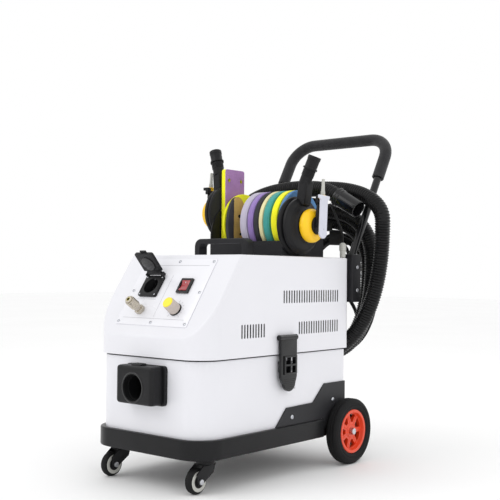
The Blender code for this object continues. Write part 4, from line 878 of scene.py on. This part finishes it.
# ---------------------------------------------------------------- air sanders
for side, word, peg_y, peg_z in SANDERS:
    nozzle = placed((0.0705, 0.007, 0.0415))
    hang = placed((side * 0.1103, peg_y, peg_z)) @ Matrix.Rotation(math.radians(-3), 4, "X")
    body, pad = f"sander_{word}", f"sander_pad_{word}"
    add(f"sanding_pad_{word}", lathe(soft([(0.0043, 0.0016), (0.0665, 0.0016), (0.0680, 0.003), (0.0675, 0.007),
                                           (0.058, 0.0115), (0.0043, 0.0115)], 0.0006), 96, ALONG_X),
                                           "black_plastic",
        pad, hang, replaces=f"sander_pad_{word}", side=side)
    add(f"pad_velour_{word}", lathe(soft([(0.0043, 0), (0.0663, 0), (0.0663, 0.0016), (0.0043, 0.0016)],
                                         0.0004), 96,
                                    ALONG_X), "black_velour", pad, hang, side=side)
    shroud = [(0, 0.0118), (0.058, 0.0118), (0.0640, 0.0145), (0.0640, 0.022), (0.055, 0.029), (0.040, 0.034),
              (0.037, 0.0378), (0.0192, 0.0378), (0.0192, 0.0650), (0.0175, 0.0665), (0, 0.0665)]
    shell = lathe(soft(shroud, 0.0025, 5), 96, ALONG_X)
    snout = [(0.0130, 0.045), (0.0370, 0.045), (0.0440, 0.103), (0.0200, 0.103)]
    merge(shell, edges_bevel(prism(snout, -0.020, 0.010, "Y"), 0.006, 6))
    outlet = [(0, 0), (0.0135, 0), (0.0135, 0.018)]
    for rib in range(5):
        outlet += [(0.0147, 0.0185 + rib * 0.0032), (0.0147, 0.0203 + rib * 0.0032),
                   (0.0137, 0.0206 + rib * 0.0032),
                   (0.0137, 0.0214 + rib * 0.0032)]
    outlet += [(0.0168, 0.0345), (0.0168, 0.0385), (0.0145, 0.0388), (0.0145, 0.058), (0.0152, 0.058),
               (0.0152, 0.066), (0.0112, 0.066), (0.0112, 0.040), (0, 0.040)]
    merge(shell, lathe(soft(outlet, 0.0004, 2), 56, aim((0.0295, -0.009, 0.095), (0.36, 0.10, 1))))
    arm = [(-0.012, -0.006), (0.012, -0.006), (0.024, 0.045), (0.024, 0.056), (-0.004, 0.056)]
    merge(shell, edges_bevel(prism(arm, 0.0630, 0.0690, "X"), 0.0012, 3))
    lug = [(0.0640, 0.050), (0.0720, 0.050), (0.0720, 0.060), (0.0796, 0.060), (0.0796, 0.067), (0.0640, 0.067)]
    merge(shell, edges_bevel(prism(lug, -0.011, 0.001, "Y"), 0.0006, 2))
    merge(shell, lathe(soft([(0, 0), (0.0080, 0), (0.0080, 0.018), (0, 0.018)], 0.0008), 40,
                       nozzle))
    add(f"sander_shell_{word}", shell, "black_plastic", body, hang, replaces=f"sander_body_{word}", side=side)
    add(f"nozzle_ring_{word}", lathe(soft([(0, 0.017), (0.0075, 0.017), (0.0075, 0.027), (0, 0.027)], 0.0006),
                                     40, nozzle),
        "yellow_rubber", body, hang, side=side)
    add(f"nozzle_tip_{word}", lathe(soft([(0, 0.0265), (0.0056, 0.0265), (0.0050, 0.036), (0.0042, 0.037),
                                          (0.0034, 0.064),
                                          (0, 0.064)], 0.0005), 36, nozzle), "grey_plastic", body, hang,
                                          side=side)
    dome = [(0.0196, 0.0385), (0.0340, 0.0385), (0.0375, 0.0415), (0.0385, 0.0470), (0.0378, 0.0525),
            (0.0350, 0.0575),
            (0.0300, 0.0610), (0.0240, 0.0625), (0.0196, 0.0625)]
    add(f"dome_cap_{word}", lathe(soft(dome, 0.002, 5), 96, ALONG_X), "yellow_rubber", body, hang,
        replaces=f"sander_dome_{word}", side=side)
    if side < 0:
        continue
    paddle = [(-0.025, 0.0665), (-0.025, 0.0595), (-0.018, 0.0560), (-0.018, -0.016)]
    paddle += arc((-0.005, -0.016), 0.0140, 180, 360, 22)
    paddle += [(0.008, -0.016), (0.008, 0.0560), (0.015, 0.0595), (0.015, 0.0665)]
    add("lever_paddle", edges_bevel(prism(paddle, 0.0800, 0.0850, "X"), 0.0016, 4), "lever_paint",
        "sander_lever_right", hang, replaces="sander_lever_right")
    add("lever_pin", rod((0.0825, -0.020, 0.0640), (0.0825, 0.010, 0.0640), 0.0016, 20), "bright_steel",
        "sander_lever_right", hang)

# ---------------------------------------------------------------- push handle and mount
def handle_path(foot_drop=0.0):
    half = [(0.150, 0.277, 0.372 - foot_drop), (0.150, 0.277, 0.475), (0.150, 0.457, 0.787)]
    return rounded_path(half + [(-x, y, z) for x, y, z in reversed(half)], 0.060)


grip_end = 0.277 + 0.180 / 0.312 * (0.680 - 0.475)
grip = rounded_path([(0.150, grip_end, 0.680), (0.150, 0.457, 0.787), (-0.150, 0.457, 0.787),
                     (-0.150, grip_end, 0.680)],
                    0.060)
add("push_bar", tube(handle_path(), 0.0095, 32), "gloss_black", "head", replaces="handle_tube", smooth=60)
add("foam_grip", tube(even_points(grip, 160), 0.015, 40, 0.0101), "grip_foam", "head", replaces="handle_grip",
    smooth=60)

WALL = 0.2560
mount = edges_bevel(box((-0.133, WALL, 0.430), (0.133, WALL + 0.005, 0.474)), 0.0008, 2)
for edge in (-1, 1):
    shape = [(WALL, 0.372), (WALL + 0.034, 0.372), (WALL + 0.038, 0.400), (WALL + 0.038, 0.486),
             (WALL + 0.002, 0.486),
             (WALL, 0.484)]
    mount = join(mount, edges_bevel(prism(shape, *sorted((edge * 0.132, edge * 0.168)), "X"), 0.003, 4))
hanger = [(WALL + 0.002, 0.445), (WALL + 0.002, 0.6285), (0.3415, 0.6285), (0.3415, 0.5750), (0.3841, 0.5750),
          (0.3841, 0.5520), (0.4290, 0.5520), (0.4290, 0.5160), (0.4625, 0.5160), (0.4625, 0.5420)]


def strip_outline(points, thick):
    """The outline of a bent sheet whose middle line is the given right-angled polyline."""
    def offset(sign):
        line = []
        for i, (y, z) in enumerate(points):
            normals = []
            for a, b in ((i - 1, i), (i, i + 1)):
                if a >= 0 and b < len(points):
                    run = Vector((points[b][0] - points[a][0], points[b][1] - points[a][1])).normalized()
                    normals.append(Vector((-run.y, run.x)))
            mitre = normals[0]
            if len(normals) == 2:
                mitre = (normals[0] + normals[1]) / (1 + normals[0].dot(normals[1]))
            line.append((y + sign * mitre.x * thick / 2, z + sign * mitre.y * thick / 2))
        return line
    return offset(1) + offset(-1)[::-1]


mount = join(mount, prism(strip_outline(hanger, 0.0018), -0.020, 0.020, "X"),
             box((-0.134, WALL + 0.030, park_top - 0.030), (-0.126, park.y + 0.004, park_top - 0.014)),
             box((park.x + 0.019, park.y - 0.004, park_top - 0.030),
                 (-0.126, park.y + 0.004, park_top - 0.014)),
             rod((park.x, park.y, park_top - 0.036), (park.x, park.y, park_top + 0.001), 0.0228, 48))
mount = cut(mount, rod((park.x, park.y, park_top - 0.031), (park.x, park.y, park_top + 0.02), 0.0212, 48),
            tube(handle_path(0.02), 0.0101, 32))
add("handle_bracket", mount, "charcoal_paint", "head", replaces="handle_mount")
bolts = bmesh.new()
for x in (-0.104, -0.060, 0.060, 0.104):
    screw((x, WALL + 0.005, 0.452), (0, 1, 0), 0.0050, 0.0030, bolts)
for edge in (-1, 1):
    for z in (0.400, 0.455):
        screw((edge * 0.168, WALL + 0.021, z), (edge, 0, 0), 0.0045, 0.0026, bolts)
add("handle_bolts", bolts, "bright_steel", "head")

# ---------------------------------------------------------------- wheels
for side, word in SIDES:
    centre = Vector((0.181, 0.226, 0.075))
    place = placed(centre) @ ALONG_X
    half = [(0.0505, -0.012), (0.056, -0.0155), (0.060, -0.0158), (0.0605, -0.0152), (0.0615, -0.0152),
            (0.062, -0.016),
            (0.066, -0.016), (0.072, -0.0135), (0.0748, -0.009), (0.0749, -0.0045), (0.0738, -0.0040),
            (0.0738, -0.0030),
            (0.0750, -0.0025)]
    add(f"tyre_{word}", lathe(soft(half + [(r, -h) for r, h in reversed(half)], 0.0006, 2), 128, place),
        "tyre_rubber",
        f"wheel_{word}", replaces=f"wheel_tyre_{word}", side=side)
    rim = [(0.0063, -0.014), (0.014, -0.014), (0.016, -0.005), (0.041, -0.004), (0.043, -0.014),
           (0.0500, -0.014),
           (0.0500, 0.013), (0.043, 0.013), (0.041, 0.004), (0.016, 0.005), (0.014, 0.0070), (0.0063, 0.0070)]
    hub = lathe(soft(rim, 0.0012, 3), 112, place)
    windows = bmesh.new()
    for spoke in range(7):
        middle = 360 * (spoke + 0.5) / 7
        outline = (arc((centre.y, centre.z), 0.0395, middle - 18, middle + 18, 10)
                   + arc((centre.y, centre.z), 0.0205, middle + 10, middle - 10, 6))
        prism(outline, centre.x - 0.02, centre.x + 0.02, "X", windows)
    hub = cut(hub, windows)
    for spoke in range(7):
        angle = 2 * math.pi * spoke / 7
        out = Vector((0, math.cos(angle), math.sin(angle)))
        merge(hub, rod(centre + out * 0.0150 + Vector((0.0035, 0, 0)),
                       centre + out * 0.0415 + Vector((0.0035, 0, 0)),
                       0.0024, 12))
    # A dark disc behind the hub windows: the tyre's dark inner side, and painted shade seen through the
    # windows.
    window_shade = [(0.0145, -0.0122), (0.0420, -0.0122), (0.0420, -0.0108), (0.0145, -0.0108)]
    add(f"wheel_window_shade_{word}", lathe(window_shade, 64, place), "tyre_rubber", f"wheel_{word}", side=side)
    add(f"wheel_rim_{word}", hub, "orange_plastic", f"wheel_{word}", replaces=f"wheel_hub_{word}", side=side)

# ---------------------------------------------------------------- casters
for side, word in SIDES:
    pivot = Vector((0.125, -0.203, 0.062))
    wheel_at = Vector((0.125, -0.230, 0.026))
    spin_axis = placed(wheel_at) @ ALONG_X
    fork = lathe(soft([(0, 0.056), (0.017, 0.056), (0.019, 0.058), (0.019, 0.066), (0.016, 0.0681),
                       (0, 0.0681)], 0.0008),
                 48, placed((pivot.x, pivot.y, 0)))
    cheek = [(pivot.y + 0.016, 0.0575), (pivot.y + 0.010, 0.040)]
    cheek += arc((wheel_at.y, wheel_at.z), 0.0085, -30, -180, 18)
    cheek += [(wheel_at.y - 0.010, 0.042), (pivot.y - 0.017, 0.0575)]
    for inner in (0.0112, -0.0142):
        merge(fork, edges_bevel(prism(cheek, pivot.x + inner, pivot.x + inner + 0.003, "X"), 0.0006, 2))
    merge(fork, edges_bevel(box((pivot.x - 0.0142, pivot.y - 0.017, 0.0545),
                                (pivot.x + 0.0142, pivot.y + 0.016, 0.0585)),
                            0.0006, 2))
    add(f"caster_frame_{word}", fork, "black_plastic", f"caster_{word}", replaces=f"caster_fork_{word}",
        side=side)
    pin = [(0, -0.0175), (0.0055, -0.0175), (0.0055, -0.0135), (0.004, -0.0135), (0.004, 0.0135),
           (0.0055, 0.0135),
           (0.0055, 0.0175), (0, 0.0175)]
    add(f"caster_pin_{word}", lathe(soft(pin, 0.0005), 32, spin_axis), "bright_steel",
        f"caster_{word}", side=side)
    tread = [(0.0043, -0.010), (0.0125, -0.010), (0.0135, -0.0085), (0.021, -0.009), (0.0248, -0.006),
             (0.0260, -0.002),
             (0.0260, 0.002), (0.0248, 0.006), (0.021, 0.009), (0.0135, 0.0085), (0.0125, 0.010),
             (0.0043, 0.010)]
    add(f"caster_tread_{word}", lathe(soft(tread, 0.0008, 2), 72, spin_axis), "tyre_rubber",
        f"caster_wheel_{word}", replaces=f"caster_wheel_{word}", side=side)
    rings = bmesh.new()
    for edge in (-1, 1):
        lathe(soft([(0.0128, edge * 0.0084), (0.0128, edge * 0.0092), (0.0200, edge * 0.0096),
                    (0.0206, edge * 0.0086)],
                   0.0002, 2), 56, spin_axis, rings)
    add(f"caster_rings_{word}", rings, "grey_plastic", f"caster_wheel_{word}", side=side)
